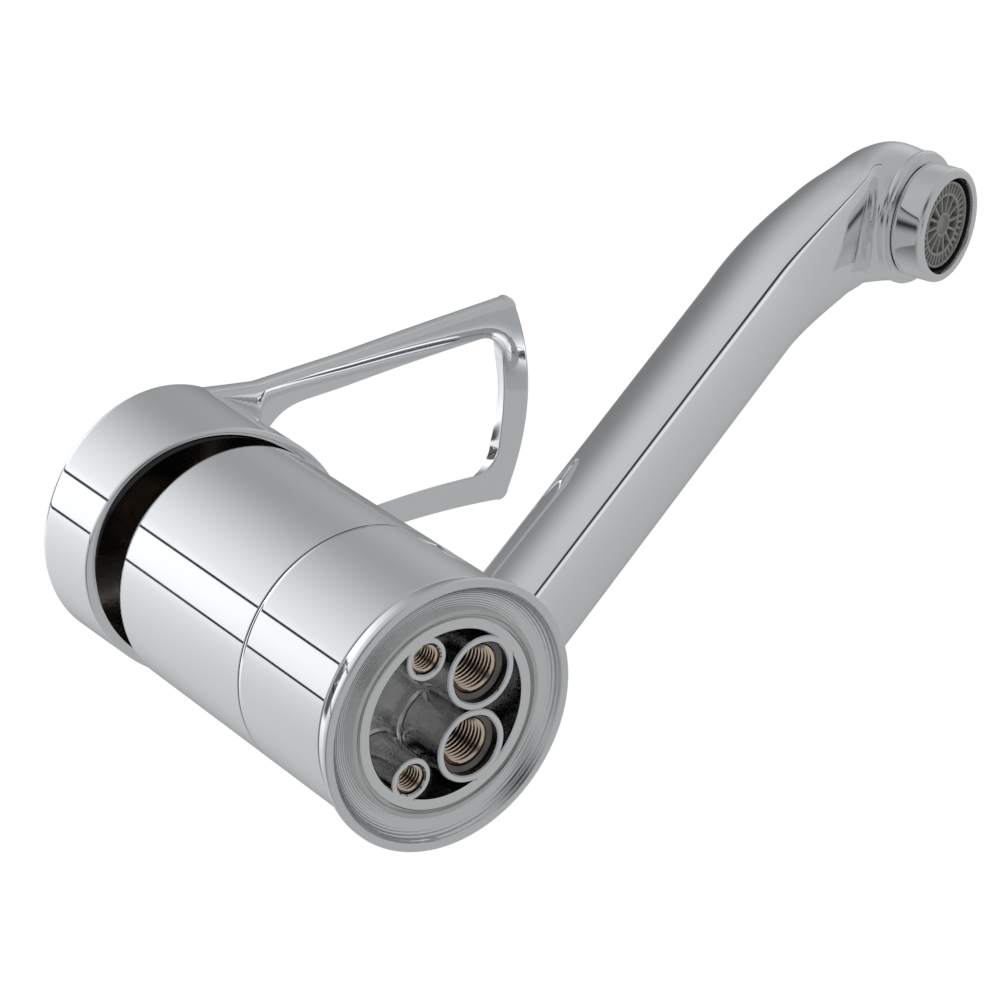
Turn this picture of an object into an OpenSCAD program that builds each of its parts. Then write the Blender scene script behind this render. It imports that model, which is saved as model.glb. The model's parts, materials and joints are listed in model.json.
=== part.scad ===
// Single-lever kitchen mixer with a loop lever and a swivelling cast spout.
// The origin is the centre of the foot on the worktop, +Z is up, and +X points along the spout
// and the lever. The lever is shut and straight ahead.

/* [Column] */
// Diameter of the column
column_d = 50; // [48:0.5:56]
// Height of the column's upper edge above the worktop
column_top = 74.4; // [74:0.1:80]
// Height of the seam between the spout's collar and the column
seam_z = 31.2; // [30.6:0.1:32]
// Width of the bevel round the column's upper edge
top_bevel_w = 0.8; // [0.4:0.1:1.2]
// Height of the bevel round the column's upper edge
top_bevel_h = 2; // [1:0.1:3]
// Diameter of the spigot that the spout turns on
spigot_d = 41.2; // [40.8:0.1:42]
// Diameter at the floor of the seal grooves and of the water gallery
gallery_d = 36.6; // [36.2:0.1:37]
// Height of the water gallery's lower edge
gallery_z = 11.2; // [11:0.1:12]
// Height of the water gallery
gallery_h = 11.4; // [10:0.1:12]

/* [Foot of the casting] */
// Height of the casting's machined underside above the worktop
face_z = 1; // [0.5:0.1:1.2]
// Diameter of the machined underside
foot_d = 37.2; // [37:0.1:37.4]
// Diameter of the cast hollow inside the foot
hollow_d = 33; // [32:0.1:33.4]
// Depth of the cast hollow
hollow_depth = 12.5; // [10:0.1:13]
// Height at which the foot widens to the spigot
foot_step_z = 6.3; // [6.2:0.1:7]
// Diameter at the floor of the snap ring's groove
snap_groove_d = 35.8; // [35.4:0.1:36.2]

/* [Ports] */
// Turn of the casting's port pattern about the column's axis
port_turn = 6; // [0:1:12]
// Distance of the hose ports ahead of the axis
inlet_x = 6.5; // [6:0.1:7]
// Distance of each hose port to the side of the axis
inlet_y = 7.2; // [7:0.1:7.6]
// Diameter of the tapped hose ports
inlet_thread_d = 9.3; // [9:0.1:9.4]
// Tapped length of the hose ports
inlet_thread_l = 11; // [9:0.5:14]
// Diameter of the counterbore in each hose port
inlet_counter_d = 11.8; // [11:0.1:12.2]
// Depth of the counterbore in each hose port
inlet_counter_h = 1.9; // [1:0.1:3]
// Diameter of the bosses round the hose ports
inlet_boss_d = 14.6; // [14:0.1:14.8]
// Distance of the stud holes behind the axis
stud_x = 6.1; // [5.8:0.1:6.6]
// Distance of each stud hole to the side of the axis
stud_y = 11.7; // [11.4:0.1:12]
// Diameter of the tapped stud holes
stud_thread_d = 5.4; // [5:0.1:5.6]
// Tapped length of the stud holes
stud_thread_l = 16; // [10:0.5:18]
// Diameter of the bosses round the stud holes
stud_boss_d = 8.4; // [8:0.1:9]
// Extra radius of each boss at its root
boss_draft = 0.5; // [0.2:0.1:0.8]
// Width of the step round each boss's root
root_step_w = 1; // [0.5:0.1:1.2]
// Height of the step round each boss's root
root_step_h = 1.1; // [0.6:0.1:1.5]

/* [Water ways in the casting] */
// Height of the cartridge chamber's floor
chamber_z = 37.5; // [36.5:0.1:38]
// Diameter of the cartridge chamber
chamber_d = 40.4; // [40.2:0.1:40.8]
// Diameter of the drillings from the hose ports to the chamber
feed_d = 7.2; // [6:0.1:7.6]
// Distance of the mixed-water drilling behind the axis
mixed_x = 9; // [8.6:0.1:9.4]
// Diameter of the mixed-water drilling
mixed_d = 8; // [6:0.1:8.4]
// Height of the cross drilling into the gallery
cross_z = 18.6; // [18:0.1:19]
// Diameter of the cross drilling into the gallery
cross_d = 6.6; // [5:0.1:7]

/* [Foot ring] */
// Diameter of the foot ring's rolled lip
lip_d = 52.8; // [52:0.1:56]
// Height of the foot ring
foot_ring_h = 4.2; // [4:0.1:4.3]
// Thickness of the foot ring's web
foot_web = 1.2; // [1:0.1:1.3]
// Width of the lip's flat underside
lip_w = 1.6; // [1:0.1:2]
// Height of the lip's upright outer edge
lip_h = 1.5; // [1:0.1:2]
// Width of the snap ring's visible rim
snap_rim_w = 0.9; // [0.6:0.1:1]
// Outer diameter of the snap ring
snap_d = 40.4; // [40:0.1:40.6]

/* [Spout bearings and seals] */
// Bore of the spout's collar
collar_bore = 41.6; // [41.5:0.1:42.4]
// Gap between the collar and what it turns against
seam_gap = 0.3; // [0.2:0.05:0.5]
// Diameter of the bearing seats in the collar
bearing_seat_d = 45.2; // [44.6:0.1:45.6]
// Depth of each bearing seat in the collar
bearing_seat_h = 1.7; // [1.4:0.1:2]
// Running clearance of the bearing rings
bearing_gap = 0.05; // [0.02:0.01:0.1]
// Section diameter of the spout seals
spout_seal_t = 2.36; // [2.2:0.02:2.4]
// Height of the lower spout seal
lower_seal_z = 8.9; // [8.8:0.1:9.2]
// Height of the upper spout seal
upper_seal_z = 26.2; // [25.6:0.1:26.6]
// Height of each seal groove
seal_groove_h = 2.8; // [2.6:0.1:3]

/* [Spout] */
// Rise of the straight part of the spout above the level, in degrees
spout_rise = 35.7; // [34:0.1:37]
// Height at which the spout's centre line leaves the column's axis
spout_z = 1.9; // [1:0.1:2.5]
// Distance from the column's axis at which the spout's skin starts inside the collar
spout_start = 20; // [19:0.5:21]
// Length of the straight part from the column's axis
spout_run = 215; // [180:0.5:260]
// Diameter of the spout at the column's axis
spout_root_d = 19.9; // [19:0.1:20.4]
// Diameter of the spout where it bends
spout_tip_d = 24; // [23:0.1:25]
// Wall of the spout
spout_wall = 2.4; // [2:0.1:3]
// Radius of the long bend after the straight part
bend_r = 335; // [325:1:345]
// Angle of the long bend, in degrees
bend_angle = 9.7; // [9.4:0.1:10]
// Diameter of the spout at the end of the long bend
neck_end_d = 27.8; // [27.4:0.1:28.2]
// Radius of the short bend into the head
nod_r = 85; // [80:1:90]
// Angle of the short bend, in degrees
nod_angle = 20.2; // [19.6:0.1:20.6]
// Diameter of the spout where it enters the head
spout_end_d = 32.8; // [32:0.1:33]
// Angle by which the flat belly runs away from the straight part's axis, in degrees
belly_slope = 1.6; // [1.4:0.1:1.8]
// Squareness that the belly's section gains as it flattens
belly_square = 4; // [2:0.5:5]
// Diameter of the water way through the collar's wall
throat_d = 9; // [7:0.1:9.6]
// Length of the water way from the column's axis
throat_l = 42; // [40:1:50]
// Length of the straight water way from the column's axis
way_run = 240; // [236:1:242]
// Length of the turned water way up to the head's chamber
way_turn_l = 52; // [50:1:54]
// Turn of the water way towards the head's chamber, in degrees
way_turn = 6.5; // [6:0.5:7]
// Diameter of the turned water way where it starts
way_start_d = 16; // [14:0.5:17]
// Diameter of the turned water way where it enters the chamber
way_end_d = 14; // [12:0.5:14.5]

/* [Spout head] */
// Tilt of the outlet away from straight down, in degrees
outlet_tilt = 18; // [12:0.5:22]
// Diameter of the head's socket
socket_d = 33; // [32.6:0.1:33.4]
// Diameter of the rolled rim of the socket
rim_d = 33.8; // [33.6:0.1:34.6]
// Height of the rolled rim
rim_h = 4; // [3:0.1:5]
// Distance from the socket's rim up to the spout's centre line
socket_l = 8; // [7.8:0.1:8.6]
// Diameter of the head at its fullest
head_d = 35.4; // [35:0.1:36]
// Distance from the rolled rim up to the head's fullest part
head_swell_l = 6.1; // [5.6:0.1:6.6]
// Height of the dome over the head's fullest part
head_dome_h = 14.8; // [14.6:0.1:15.4]
// Fullness of the dome, where 2 is an ellipse
dome_power = 1.7; // [1.65:0.05:2]
// Diameter of the water chamber inside the head
head_bore = 24; // [23:0.1:25]

/* [Aerator] */
// Outer diameter of the aerator's collar
aerator_d = 29; // [28.4:0.1:29.6]
// Visible length of the aerator's collar
aerator_l = 8.2; // [7.4:0.1:9]
// Diameter of the aerator's screw thread
aerator_thread_d = 27.2; // [26.6:0.1:27.4]
// Length of the aerator's screw thread
aerator_thread_l = 6.4; // [5:0.1:7]
// Diameter of the aerator's mouth
mouth_d = 24.2; // [23:0.1:24.6]
// Thickness of the lip that holds the insert
mouth_lip = 1.1; // [0.8:0.1:1.5]
// Outer diameter of the insert
insert_d = 25.2; // [25:0.1:25.4]
// Height of the ribbed insert
insert_h = 7.4; // [6:0.1:8]
// Number of outer ribs
outer_ribs = 36; // [24:2:48]
// Number of inner ribs
inner_ribs = 14; // [8:2:20]
// Thickness of the ribs
rib_t = 0.7; // [0.5:0.05:0.9]
// Height of the ribs
rib_h = 3; // [2:0.1:4]
// Diameter of the ring between the two rows of ribs
mid_ring_d = 15.4; // [14:0.1:16]
// Diameter of the insert's centre
centre_d = 6.4; // [5:0.1:7.5]
// Thickness of each screen
screen_t = 0.25; // [0.2:0.05:0.4]
// Thickness of the jet plate
jet_plate_t = 3; // [2:0.1:4]
// Number of jets in each ring of the jet plate
jets = 18; // [12:2:24]
// Diameter of the jets
jet_d = 1.1; // [0.8:0.1:1.3]
// Thickness of the aerator washer
washer_t = 2; // [1.5:0.1:2.2]
// Bore of the aerator washer
washer_bore = 22; // [21:0.1:23]

/* [Cartridge] */
// Outer diameter of the cartridge
cartridge_d = 39.4; // [39:0.1:39.8]
// Height of the cartridge's base
base_h = 5.5; // [5:0.1:6]
// Diameter of the port seals
port_seal_d = 12.2; // [11.6:0.1:12.4]
// Width of the port seals' section
port_seal_w = 1.9; // [1.5:0.1:2]
// Height of the port seals
port_seal_h = 1.8; // [1.4:0.1:2]
// Diameter of the locating pegs under the base
peg_d = 3.6; // [3:0.1:4]
// Length of the locating pegs
peg_l = 2.4; // [2:0.1:3]
// Distance of the pegs behind the axis
peg_x = 11; // [10:0.1:11.5]
// Distance of each peg to the side of the axis
peg_y = 10.6; // [10.4:0.1:11]
// Height of the rim that locates the fixed disc
disc_rim_h = 3; // [2:0.1:3.4]
// Diameter of the fixed ceramic disc
fixed_disc_d = 32; // [31:0.1:32.6]
// Thickness of the fixed ceramic disc
fixed_disc_t = 4; // [3.6:0.1:4.4]
// Diameter of the sliding ceramic disc
slide_disc_d = 26; // [25:0.1:26.4]
// Thickness of the sliding ceramic disc
slide_disc_t = 4; // [3.6:0.1:4.4]
// Diameter of the water holes in the discs
disc_hole_d = 7.2; // [6:0.1:7.4]
// Travel that the sliding disc starts behind the axis
disc_start = 2.65; // [2.4:0.05:2.8]
// Depth of the mixing pocket in the sliding disc
pocket_depth = 2.2; // [1.5:0.1:2.6]
// Bore of the cartridge's shell
shell_bore = 35.3; // [35.2:0.1:35.6]
// Outer diameter of the shell's neck
neck_d = 33; // [32.6:0.1:33.2]
// Bore of the shell's neck
neck_bore = 28.2; // [28:0.1:28.6]
// Thickness of the shell's shoulder
shoulder_t = 2; // [1.6:0.1:2.4]
// Height of the shell's neck above its shoulder
neck_h = 9.2; // [9:0.1:9.6]
// Thickness of the ring that stops the turn
stop_ring_t = 1.8; // [1.4:0.1:1.9]
// Turn of the lever to each side, in degrees
turn_limit = 50; // [40:1:55]
// Half width of the rotor's stop key, in degrees
key_half = 12; // [8:1:14]
// Running clearance of the cartridge's pieces
slip = 0.05; // [0.02:0.01:0.1]
// Free gap between the cartridge's pieces that pass each other
pass_gap = 0.3; // [0.2:0.05:0.4]

/* [Lever stem] */
// Height of the pivot that the lever lifts about
pivot_z = 68; // [67.6:0.1:68.4]
// Width of the square stem
stem_w = 8; // [7:0.1:8.4]
// Length of the stem above the pivot
stem_up = 31; // [30:0.5:32]
// Distance from the pivot down to the stem's ball end
stem_arm = 12.5; // [12.2:0.1:12.8]
// Diameter of the stem's ball end
stem_ball_d = 6.8; // [6:0.1:7]
// Thickness of the stem's lower neck
stem_neck_w = 4.8; // [4:0.1:5.2]
// Diameter of the pivot pin
pin_d = 4; // [3:0.1:4.4]
// Length of the pivot pin
pin_l = 27; // [26:0.1:27.2]

/* [Cartridge nut and cover] */
// Diameter of the nut's thread
nut_thread_d = 43; // [42.4:0.1:43.4]
// Height of the nut's threaded part
nut_thread_h = 6.8; // [6:0.1:7]
// Size of the nut's hexagon across its flats
nut_flats = 34; // [33.8:0.1:34.2]
// Height of the nut's hexagon
nut_hex_h = 3; // [2:0.1:3.2]
// Clearance between the nut and the neck, and between the thread and the column
nut_gap = 0.1; // [0.05:0.01:0.2]
// Diameter of the dome cover at its rim
dome_d = 46.8; // [46:0.1:47.4]
// Radius of the dome
dome_r = 30; // [29.8:0.1:31]
// Wall of the dome
dome_wall = 0.8; // [0.6:0.1:1]
// Hole in the dome for the stem
dome_hole = 28; // [27:0.1:29]
// Depth of the dome's lip inside the column
dome_lip = 0.6; // [0.4:0.1:0.7]

/* [Lever] */
// Diameter of the cap at its lower edge
cap_low_d = 52.3; // [52:0.1:53]
// Diameter of the cap at its widest
cap_top_d = 53; // [52.6:0.1:54]
// Distance of the cap's middle ahead of the column's axis
cap_ahead = 0.9; // [0.5:0.1:1.2]
// Height of the cap's top over the column's axis
cap_top_z = 104.2; // [104:0.1:105]
// Fall of the cap's top towards the rear, in degrees
cap_top_slope = 5.7; // [4:0.1:6.5]
// Height of the lower rim on the axis
cap_rim_z = 79.4; // [79:0.1:80.5]
// Fall of the lower rim towards the front, in degrees
cap_rim_slope = 11.7; // [10:0.1:12]
// Radius of the round over the cap's upper edge
cap_round = 1.6; // [1:0.1:2.4]
// Bore of the cap
cap_bore = 48.8; // [48:0.1:49]
// Height of the ceiling inside the cap
cap_ceiling_z = 97.5; // [97:0.1:99]
// Diameter of the hub inside the cap
hub_d = 17; // [15:0.1:17.4]
// Height of the hub's lower end
hub_z = 89; // [88.8:0.1:90]
// Clearance of the stem in the hub
stem_fit = 0.1; // [0.05:0.01:0.2]
// Height of the grub screw
screw_z = 93.2; // [93:0.1:94]
// Diameter of the grub screw
screw_d = 5; // [4:0.1:5.4]
// Length of the grub screw
screw_l = 10; // [8:0.5:12]
// Diameter of the boss round the grub screw
screw_boss_d = 8.4; // [8:0.1:8.6]
// Diameter of the index plug
plug_d = 6.4; // [6:0.1:7]
// Thickness of the index plug
plug_t = 2.2; // [1.8:0.1:2.4]

/* [Loop of the lever] */
// Distance of the loop's corners ahead of the axis
loop_corner_x = 96.8; // [90:0.1:110]
// Distance of each corner from the middle
loop_corner_y = 23.6; // [22:0.1:25]
// Distance of the loop's middle ahead of the axis
loop_reach = 101.5; // [96:0.1:116]
// Half width of the loop at its waist
loop_waist = 21.5; // [20:0.1:22]
// Distance of the waist ahead of the axis
waist_x = 50; // [46:1:54]
// Distance of the arms' roots ahead of the axis
root_x = 10; // [8:0.5:11]
// Half width of the loop at the arms' roots
root_y = 24.1; // [23.6:0.1:24.3]
// How quickly the arms spread from the waist to their roots
root_power = 1.3; // [1.2:0.1:2]
// Width of the arms at the waist
arm_w = 6.9; // [6:0.1:8]
// Width of the arms at the corners
arm_front_w = 7.6; // [7:0.1:8.5]
// Width of the bar across the front
bar_w = 7.2; // [6:0.1:8.5]
// Extra width of each arm where it meets the cap
root_web = 10; // [7:0.1:11]
// Distance ahead of the axis where the arms start to widen towards the cap
web_x = 39; // [34:0.5:42]
// Thickness of the loop
loop_t = 4; // [3.6:0.1:4]
// Extra thickness of the arms where they meet the cap
root_swell = 0.6; // [0.2:0.1:0.8]
// Depth of the arms' underside below the cap's top
root_drop = 3.7; // [3.6:0.1:4]
// Rise of the loop from the cap to its front
loop_rise = 13; // [10:0.1:16]
// Distance ahead of the axis where the loop starts to rise
rise_x = 24; // [22:0.5:26]
// How quickly the rise flattens out
rise_power = 2; // [1.4:0.1:2.4]
// Radius of the loop's outer corners
corner_out_r = 2; // [1.5:0.1:4]
// Radius of the loop's inner corners
corner_in_r = 6; // [4:0.1:7]
// Radius of the round along the loop's outer edges
edge_r = 1.3; // [0.8:0.1:1.6]
// Radius of the round along the loop's inner edges
inner_edge_r = 0.4; // [0.2:0.1:0.6]
// Width by which the arms' inner side leans outward
inner_lean = 3.2; // [2:0.1:3.4]
// Width by which the front bar's inner side leans outward
bar_lean = 1.2; // [0.8:0.1:2]

/* [Hidden] */
$fn = 96;

chrome = [0.82, 0.83, 0.85];
brass = [0.78, 0.62, 0.36];
dark_plastic = [0.12, 0.12, 0.13];
pale_plastic = [0.85, 0.85, 0.82];
rubber = [0.08, 0.08, 0.08];
ceramic = [0.93, 0.92, 0.88];
steel = [0.6, 0.61, 0.63];

// A cut goes this far past the face it leaves through
over = 1;

// Foot and spigot
column_r = column_d / 2;
spigot_r = spigot_d / 2;
gallery_r = gallery_d / 2;
foot_r = foot_d / 2;
hollow_top = face_z + hollow_depth;
snap_groove_r = snap_groove_d / 2;
snap_leg_t = foot_web - 0.1;
web_z = foot_ring_h - foot_web;
snap_z = web_z - snap_leg_t;
snap_groove_play = bearing_gap;
bearing_low_r = foot_r + bearing_gap;
collar_low = foot_ring_h + seam_gap;
collar_high = seam_z - seam_gap;
bearing_r = bearing_seat_d / 2 - bearing_gap;

// Cartridge, from its base up
base_top = chamber_z + base_h;
disc_z = base_top;
slide_z = disc_z + fixed_disc_t + slip / 2;
carrier_z = slide_z + slide_disc_t;
carrier_skirt_z = carrier_z - 2.5;
carrier_flange_z = carrier_z + 2;
carrier_skirt_r = slide_disc_d / 2 + 1.2;
ball_z = pivot_z - stem_arm;
slot_floor_z = ball_z - stem_ball_d / 2 - pass_gap;
carrier_top = ball_z + 1.5;
rotor_z = carrier_top + pass_gap;
shoulder_z = pivot_z - 3.2;
rotor_shoulder_z = shoulder_z - slip;
shell_top = shoulder_z + shoulder_t;
neck_top = shell_top + neck_h;
neck_in_r = neck_bore / 2;
rotor_r = shell_bore / 2 - 0.2;
rotor_neck_r = neck_in_r - slip;
rotor_slot_x = 10.5;
guide_y = 10;
nut_in_r = neck_d / 2 + nut_gap;

// Dome cover: the sphere's centre puts its rim on the column's upper edge
dome_z = column_top - sqrt(pow(dome_r, 2) - pow(dome_d / 2, 2));

// Spout
run_x = spout_run * cos(spout_rise);
run_z = spout_z + spout_run * sin(spout_rise);
bend_x = run_x + bend_r * sin(spout_rise);
bend_z = run_z - bend_r * cos(spout_rise);
nod_rise = spout_rise - bend_angle;
nod_x = bend_x - (bend_r - nod_r) * sin(nod_rise);
nod_z = bend_z + (bend_r - nod_r) * cos(nod_rise);
head_x = nod_x - nod_r * sin(nod_rise - nod_angle);
head_z = nod_z + nod_r * cos(nod_rise - nod_angle);
outlet_drop = aerator_l + seam_gap + socket_l;
outlet_x = head_x + outlet_drop * sin(outlet_tilt);
outlet_z = head_z - outlet_drop * cos(outlet_tilt);
rim_z = aerator_l + seam_gap;
thread_top = aerator_l + aerator_thread_l;
washer_z = thread_top + bearing_gap;
head_floor = washer_z + washer_t + bearing_gap;

// Aerator, measured up from the outlet
insert_z = mouth_lip + bearing_gap;
rib_z = insert_z + 0.8;
jet_plate_z = insert_z + insert_h + bearing_gap;
screen_z = jet_plate_z - 2 * screen_t - 2 * bearing_gap;

// Lever
cap_low_z = 70;
wide_r = cap_top_d / 2;
top_r = wide_r / cos(cap_top_slope);
hub_top = pivot_z + stem_up + stem_fit;
plug_x = cap_ahead + wide_r - plug_t - 0.7;
cap_front_x = cap_ahead + sqrt(pow(wide_r, 2) - pow(root_y - arm_w, 2));

function turned(x, y) = [x * cos(port_turn) - y * sin(port_turn), x * sin(port_turn) + y * cos(port_turn)];
inlets = [for (side = [1, -1]) turned(inlet_x, side * inlet_y)];
studs = [for (side = [1, -1]) turned(-stud_x, side * stud_y)];
pegs = [for (side = [1, -1]) turned(-peg_x, side * peg_y)];
mixed = turned(-mixed_x, 0);
water_holes = concat(inlets, [mixed]);

module at(places) {
    for (p = places) translate([p[0], p[1], 0]) children();
}

// A ring between two radii, standing on z
module ring(r_out, r_in, z, h) {
    translate([0, 0, z]) difference() {
        cylinder(r = r_out, h = h);
        translate([0, 0, -over]) cylinder(r = r_in, h = h + 2 * over);
    }
}

// One cast boss from the machined underside up into the casting, with its step at the root
module boss(d) {
    top = hollow_top + over;
    translate([0, 0, face_z]) cylinder(d1 = d, d2 = d + 2 * boss_draft, h = top - face_z);
    translate([0, 0, hollow_top - root_step_h]) cylinder(d = d + 2 * root_step_w + boss_draft,
                                                         h = root_step_h + over);
}

module casting_outline() {
    rotate_extrude() polygon([
        [0, hollow_top], [hollow_d / 2, hollow_top], [hollow_d / 2, face_z], [foot_r, face_z],
        [foot_r, snap_z - snap_groove_play], [snap_groove_r, snap_z - snap_groove_play],
        [snap_groove_r, web_z + snap_groove_play], [foot_r, web_z + snap_groove_play],
        [foot_r, foot_step_z], [spigot_r, foot_step_z],
        [spigot_r, lower_seal_z - seal_groove_h / 2], [gallery_r, lower_seal_z - seal_groove_h / 2],
        [gallery_r, lower_seal_z + seal_groove_h / 2], [spigot_r, lower_seal_z + seal_groove_h / 2],
        [spigot_r, gallery_z], [gallery_r, gallery_z],
        [gallery_r, gallery_z + gallery_h], [spigot_r, gallery_z + gallery_h],
        [spigot_r, upper_seal_z - seal_groove_h / 2], [gallery_r, upper_seal_z - seal_groove_h / 2],
        [gallery_r, upper_seal_z + seal_groove_h / 2], [spigot_r, upper_seal_z + seal_groove_h / 2],
        [spigot_r, seam_z], [column_r, seam_z],
        [column_r, column_top - top_bevel_h], [column_r - top_bevel_w, column_top],
        [nut_thread_d / 2, column_top], [nut_thread_d / 2, shell_top - over],
        [chamber_d / 2, shell_top - over], [chamber_d / 2, chamber_z], [0, chamber_z]]);
}

// The two bosses of each size, held inside the foot's own outline
module bosses() {
    intersection() {
        union() {
            at(inlets) boss(inlet_boss_d);
            at(studs) boss(stud_boss_d);
        }
        cylinder(r = (foot_r + hollow_d / 2) / 2, h = hollow_top + over);
    }
}

module body_casting() {
    color(chrome) difference() {
        union() {
            casting_outline();
            bosses();
        }
        at(inlets) {
            translate([0, 0, face_z - over]) cylinder(d = inlet_counter_d, h = inlet_counter_h + over);
            cylinder(d = inlet_thread_d, h = face_z + inlet_counter_h + inlet_thread_l);
            cylinder(d = feed_d, h = chamber_z + over);
        }
        at(studs) cylinder(d = stud_thread_d, h = face_z + stud_thread_l);
        at([mixed]) translate([0, 0, cross_z]) cylinder(d = mixed_d, h = chamber_z - cross_z + over);
        rotate(port_turn + 180) translate([mixed_x, 0, cross_z]) rotate([0, 90, 0])
            cylinder(d = cross_d, h = spigot_r);
        at(pegs) translate([0, 0, chamber_z - peg_l - bearing_gap])
            cylinder(d = peg_d + 2 * bearing_gap, h = peg_l + over);
    }
}

module base_flange() {
    lip_r = lip_d / 2;
    dish_r = lip_r - lip_w;
    color(chrome) rotate_extrude() polygon([
        [foot_r + 2 * bearing_gap, web_z], [snap_d / 2 + 1.8, web_z], [dish_r - 0.9, web_z - 1],
        [dish_r - 0.1, 1], [dish_r, 0.2], [dish_r + 0.2, 0], [lip_r - 0.3, 0], [lip_r, 0.3],
        [lip_r, lip_h], [lip_r - 0.3, lip_h + 0.4], [column_r + 0.5, lip_h + 0.7],
        [column_r + 0.3, lip_h + 1.2], [column_r + 0.3, foot_ring_h - 0.3],
        [column_r, foot_ring_h], [foot_r + 2 * bearing_gap, foot_ring_h]]);
}

module snap_ring() {
    rim_in = snap_d / 2 - snap_rim_w;
    color(steel) rotate_extrude() polygon([
        [snap_groove_r + bearing_gap, snap_z], [rim_in, snap_z], [rim_in, face_z + 0.1],
        [rim_in + 0.2, face_z], [snap_d / 2 - 0.2, face_z], [snap_d / 2, face_z + 0.2],
        [snap_d / 2, web_z], [snap_groove_r + bearing_gap, web_z]]);
}

module lower_bearing_ring() {
    top = collar_low + bearing_seat_h - bearing_gap;
    color(pale_plastic) ring(bearing_r, bearing_low_r, foot_ring_h, top - foot_ring_h);
}

module upper_bearing_ring() {
    low = collar_high - bearing_seat_h + bearing_gap;
    color(pale_plastic) ring(bearing_r, spigot_r + bearing_gap, low, seam_z - low);
}

module spout_seals() {
    color(rubber) for (z = [lower_seal_z, upper_seal_z])
        translate([0, 0, z]) rotate_extrude()
            translate([(gallery_r + collar_bore / 2) / 2, 0]) circle(d = spout_seal_t);
}

// One port seal, which sits in a pocket of the cartridge's base
module port_seal(z) {
    ring(port_seal_d / 2, port_seal_d / 2 - port_seal_w, z, port_seal_h);
}

module seal_pocket(z) {
    translate([0, 0, z]) cylinder(d = port_seal_d + 2 * bearing_gap, h = port_seal_h + over);
}

module cartridge_base() {
    rim_in = fixed_disc_d / 2 + slip;
    color(dark_plastic) {
        difference() {
            union() {
                translate([0, 0, chamber_z]) cylinder(d = cartridge_d, h = base_h);
                ring(shell_bore / 2 - slip, rim_in, base_top, disc_rim_h);
                at(pegs) translate([0, 0, chamber_z - peg_l]) cylinder(d = peg_d, h = peg_l + over);
            }
            at(water_holes) {
                translate([0, 0, chamber_z - over]) cylinder(d = disc_hole_d, h = base_h + 2 * over);
                seal_pocket(chamber_z - over);
                seal_pocket(base_top - port_seal_h);
            }
        }
    }
}

module cartridge_seals() {
    color(rubber) at(water_holes) {
        port_seal(chamber_z);
        port_seal(base_top - port_seal_h);
    }
}

module fixed_disc() {
    color(ceramic) difference() {
        translate([0, 0, disc_z]) cylinder(d = fixed_disc_d, h = fixed_disc_t);
        at(water_holes) translate([0, 0, disc_z - over])
            cylinder(d = disc_hole_d, h = fixed_disc_t + 2 * over);
    }
}

module moving_disc() {
    pocket_x = disc_start + 3.8;
    pocket_r = 6;
    wing_x = disc_start - 0.45;
    wing_y = 6.5;
    wing_r = 3.5;
    color(ceramic) difference() {
        translate([-disc_start, 0, slide_z]) cylinder(d = slide_disc_d, h = slide_disc_t);
        translate([-pocket_x, 0, slide_z - over]) cylinder(r = pocket_r, h = pocket_depth + over);
        for (side = [1, -1]) translate([-wing_x, side * wing_y, slide_z - over])
            cylinder(r = wing_r, h = pocket_depth + over);
    }
}

module disc_carrier() {
    slot_w = stem_ball_d + 2 * 0.25;
    block_y = guide_y - 0.1;
    color(dark_plastic) difference() {
        union() {
            translate([-disc_start, 0, carrier_skirt_z])
                cylinder(r = carrier_skirt_r, h = carrier_flange_z - carrier_skirt_z);
            translate([-disc_start - guide_y, -block_y, carrier_flange_z - over])
                cube([2 * guide_y, 2 * block_y, carrier_top - carrier_flange_z + over]);
        }
        translate([-disc_start, 0, carrier_skirt_z - over])
            cylinder(d = slide_disc_d + 2 * slip, h = carrier_z - carrier_skirt_z + over);
        translate([-slot_w / 2, -stem_w / 2 - 0.2, slot_floor_z])
            cube([slot_w, stem_w + 0.4, carrier_top]);
    }
}

module rotor() {
    key_w = 1.5;
    key_in = rotor_neck_r - key_w - 0.1;
    jaw_l = 16;
    jaw_t = 3.5;
    color(pale_plastic) {
        difference() {
            union() {
                translate([0, 0, rotor_z]) cylinder(r = rotor_r, h = rotor_shoulder_z - rotor_z);
                translate([0, 0, rotor_z]) cylinder(r = rotor_neck_r, h = neck_top - 0.2 - rotor_z);
                rotate(-key_half) rotate_extrude(angle = 2 * key_half)
                    translate([key_in, neck_top - over]) square([key_w, stop_ring_t + over - 0.2]);
                for (y = [guide_y, -guide_y - jaw_t])
                    translate([-jaw_l / 2, y, carrier_flange_z + pass_gap])
                        cube([jaw_l, jaw_t, rotor_z - carrier_flange_z]);
            }
            translate([-rotor_slot_x, -stem_w / 2 - 0.2, rotor_z - over])
                cube([2 * rotor_slot_x, stem_w + 0.4, neck_top]);
            translate([0, 0, pivot_z]) rotate([90, 0, 0])
                cylinder(d = pin_d + 2 * slip, h = 2 * rotor_r, center = true);
        }
    }
}

module stem_pin() {
    color(steel) translate([0, 0, pivot_z]) rotate([90, 0, 0])
        cylinder(d = pin_d, h = pin_l, center = true);
}

module lever_stem() {
    shank_z = pivot_z - 4;
    color(steel) difference() {
        union() {
            translate([-stem_w / 2, -stem_w / 2, shank_z])
                cube([stem_w, stem_w, pivot_z + stem_up - shank_z]);
            translate([-stem_neck_w / 2, -stem_w / 2, ball_z])
                cube([stem_neck_w, stem_w, shank_z - ball_z + over]);
            translate([0, 0, ball_z]) rotate([90, 0, 0])
                cylinder(d = stem_ball_d, h = stem_w, center = true);
        }
        translate([0, 0, pivot_z]) rotate([90, 0, 0])
            cylinder(d = pin_d + 2 * slip, h = 2 * stem_w, center = true);
    }
}

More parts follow.
